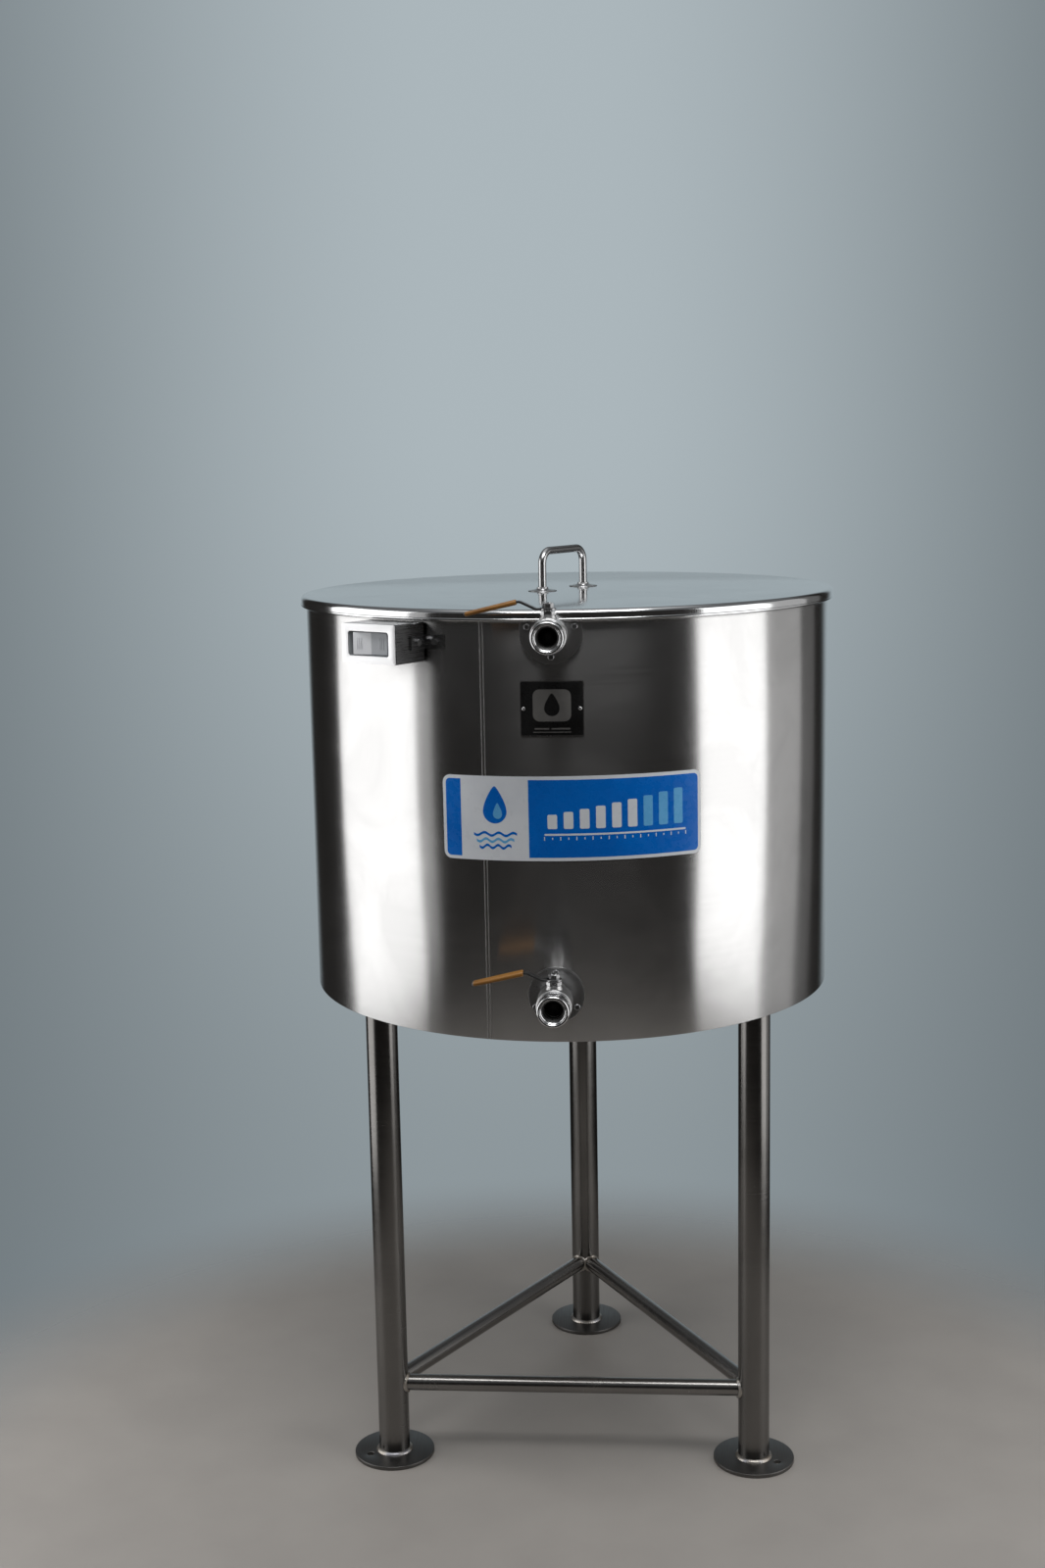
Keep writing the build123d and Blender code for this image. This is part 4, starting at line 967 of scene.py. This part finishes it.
# the nameplate and the long label, both with plain marks and no words
nameplateShape = {"width": 0.087, "height": 0.076, "z": 1.218, "thickness": 0.001, "corner": 0.003,
                  "rim": 0.0012, "ink": 0.00018, "inkSunk": 0.00005, "badge": (0.052, 0.044, 0.009),
                  "drop": (0.021, 0.031), "rivet": 0.0385}
labelShape = {"width": 0.370, "height": 0.118, "z": 1.0655, "azimuth": 3.7, "tilt": 0.2, "thickness": 0.0009,
              "corner": 0.011, "border": 0.0047, "ink": 0.0001, "inkSunk": 0.00012, "markX": 0.208,
              "drop": (0.034, 0.052), "innerDrop": (0.013, 0.022), "panels": (0.074, 0.337)}
gaugeShape = {"from": 0.395, "to": 0.935, "bars": 9, "palest": 6, "low": 0.020, "rise": 0.030, "base": -0.014}
skinGap = 0.00005  # keeps both sheets just off the drum


def dropOutline(width, height):
    # a drop: a circle drawn up to a point
    mesh = circleOutline(width / 2, 40)
    for vert in mesh.verts:
        if vert.co.y > 0:
            share = vert.co.y / (width / 2)
            vert.co.x *= 1 - 0.55 * share ** 1.5
            vert.co.y *= (height - width / 2) / (width / 2)
    return mesh


def waveOutline(width, thickness, swell, waves):
    # a thin band that rises and falls
    mesh = bmesh.new()
    bmesh.ops.create_grid(mesh, x_segments=1, y_segments=1, size=0.5)
    bmesh.ops.scale(mesh, vec=(width, thickness, 1), verts=mesh.verts)
    longEdges = [edge for edge in mesh.edges if abs(edge.verts[0].co.x - edge.verts[1].co.x) > width / 2]
    bmesh.ops.subdivide_edges(mesh, edges=longEdges, cuts=12 * waves, use_grid_fill=True)
    for vert in mesh.verts:
        vert.co.y += swell * sin(vert.co.x / width * 2 * pi * waves)
    rim = [edge for edge in mesh.edges if edge.is_boundary]
    bmesh.ops.delete(mesh, geom=list(mesh.faces), context="FACES_ONLY")
    bmesh.ops.delete(mesh, geom=[e for e in mesh.edges if e.is_valid and e not in rim], context="EDGES")
    return mesh


def addMark(target, outlines, index, x, y, lift, thickness):
    mark = sheetFrom(outlines, thickness)
    for face in mark.faces:
        face.material_index = index
    joinInto(target, mark, Matrix.Translation((x, y, lift)))


def makeNameplate():
    n = nameplateShape
    width, height, corner, rim = n["width"], n["height"], n["corner"], n["rim"]
    flat = bmesh.new()
    addMark(flat, [roundedOutline(width, height, corner)], 0, 0, 0, 0, n["thickness"])
    roundEdges(flat, 0.0003, 2, 60)
    inner = roundedOutline(width - 2 * rim, height - 2 * rim, corner - rim * 0.6)
    outer = roundedOutline(width - 0.0004, height - 0.0004, corner)
    top, ink = n["thickness"] - n["inkSunk"], n["ink"]
    addMark(flat, [outer, inner], 1, 0, 0, top, ink)
    addMark(flat, [roundedOutline(*n["badge"])], 2, 0, 0.0045, top, ink)
    addMark(flat, [dropOutline(*n["drop"])], 0, 0, 0.0005, top + ink, ink)
    for x, long in ((-0.014, 0.020), (0.012, 0.026)):
        addMark(flat, [roundedOutline(long, 0.0022, 0.0008)], 2, x, -0.0275, top, ink)
    addMark(flat, [roundedOutline(0.052, 0.0012, 0.0004)], 2, 0, -0.0322, top, ink)
    wrapSheet(flat, drumRadius + skinGap, 0.0, n["z"], 0.006)
    makePiece("nameplate", flat, ("plateBlack", "turnedSteel", "plateGrey"), "tank",
              ("nameplate",))
    rivets = bmesh.new()
    front = Matrix.Translation((0, -drumRadius - n["thickness"], n["z"])) @ frontFacing
    for side in (-1, 1):
        head = spinShape([(0, 0), (0.0025, 0), (0.0024, 0.0005), (0.0018, 0.0010), (0.0009, 0.0013), (0, 0.0014)],
                         32, closed=False)
        joinInto(rivets, head, Matrix.Rotation(side * n["rivet"] / drumRadius, 4, "Z") @ front)
    makePiece("nameplateRivets", rivets, "boltSteel", "tank", ("nameplate_rivets",))


def makeLabel():
    s = labelShape
    width, height, border = s["width"], s["height"], s["border"]
    top, ink = s["thickness"] - s["inkSunk"], s["ink"]
    flat = bmesh.new()

    def across(share):
        return (share - 0.5) * width

    def addPanel(fromShare, toShare, side):
        outline = roundedOutline((toShare - fromShare) * width, height - 2 * border, s["corner"] - border, 6, side)
        addMark(flat, [outline], 1, across((fromShare + toShare) / 2), 0, top, ink)

    addMark(flat, [roundedOutline(width, height, s["corner"], 8)], 0, 0, 0, 0, top)
    addPanel(border / width, s["panels"][0], -1)
    addPanel(s["panels"][1], 1 - border / width, 1)
    middle = across(s["markX"])
    addMark(flat, [dropOutline(*s["drop"])], 1, middle, 0.010, top, ink)
    addMark(flat, [dropOutline(*s["innerDrop"])], 2, middle + 0.004, 0.006, top + ink, ink)
    for row in range(3):
        addMark(flat, [waveOutline(0.062 - row * 0.008, 0.0036, 0.0022, 3)], 1 + row % 2, middle,
                -0.022 - row * 0.0088, top, ink)
    # a plain level gauge with its scale
    g = gaugeShape
    low, high, bars = across(g["from"]), across(g["to"]), g["bars"]
    pitch = (high - low) / bars
    for step in range(bars):
        tall = g["low"] + g["rise"] * step / (bars - 1)
        addMark(flat, [roundedOutline(pitch * 0.60, tall, 0.0022)], 0 if step < g["palest"] else 2,
                low + pitch * (step + 0.5), g["base"] + tall / 2, top + ink, ink)
    addMark(flat, [roundedOutline(high - low, 0.0026, 0.001)], 0, (low + high) / 2, -0.022, top + ink, ink)
    for step in range(bars * 2 + 1):
        addMark(flat, [roundedOutline(0.0014, 0.005 if step % 2 == 0 else 0.003, 0)], 0,
                low + pitch * step / 2, -0.0275, top + ink, ink)
    bmesh.ops.rotate(flat, cent=(0, 0, 0), matrix=Matrix.Rotation(radians(s["tilt"]), 3, "Z"), verts=flat.verts)
    wrapSheet(flat, drumRadius + skinGap, radians(s["azimuth"]), s["z"], 0.006)
    makePiece("label", flat, ("filmWhite", "filmBlue", "filmSky"), "tank", ("label",))


makeNameplate()
makeLabel()
print("stage: nameplate and label are made")
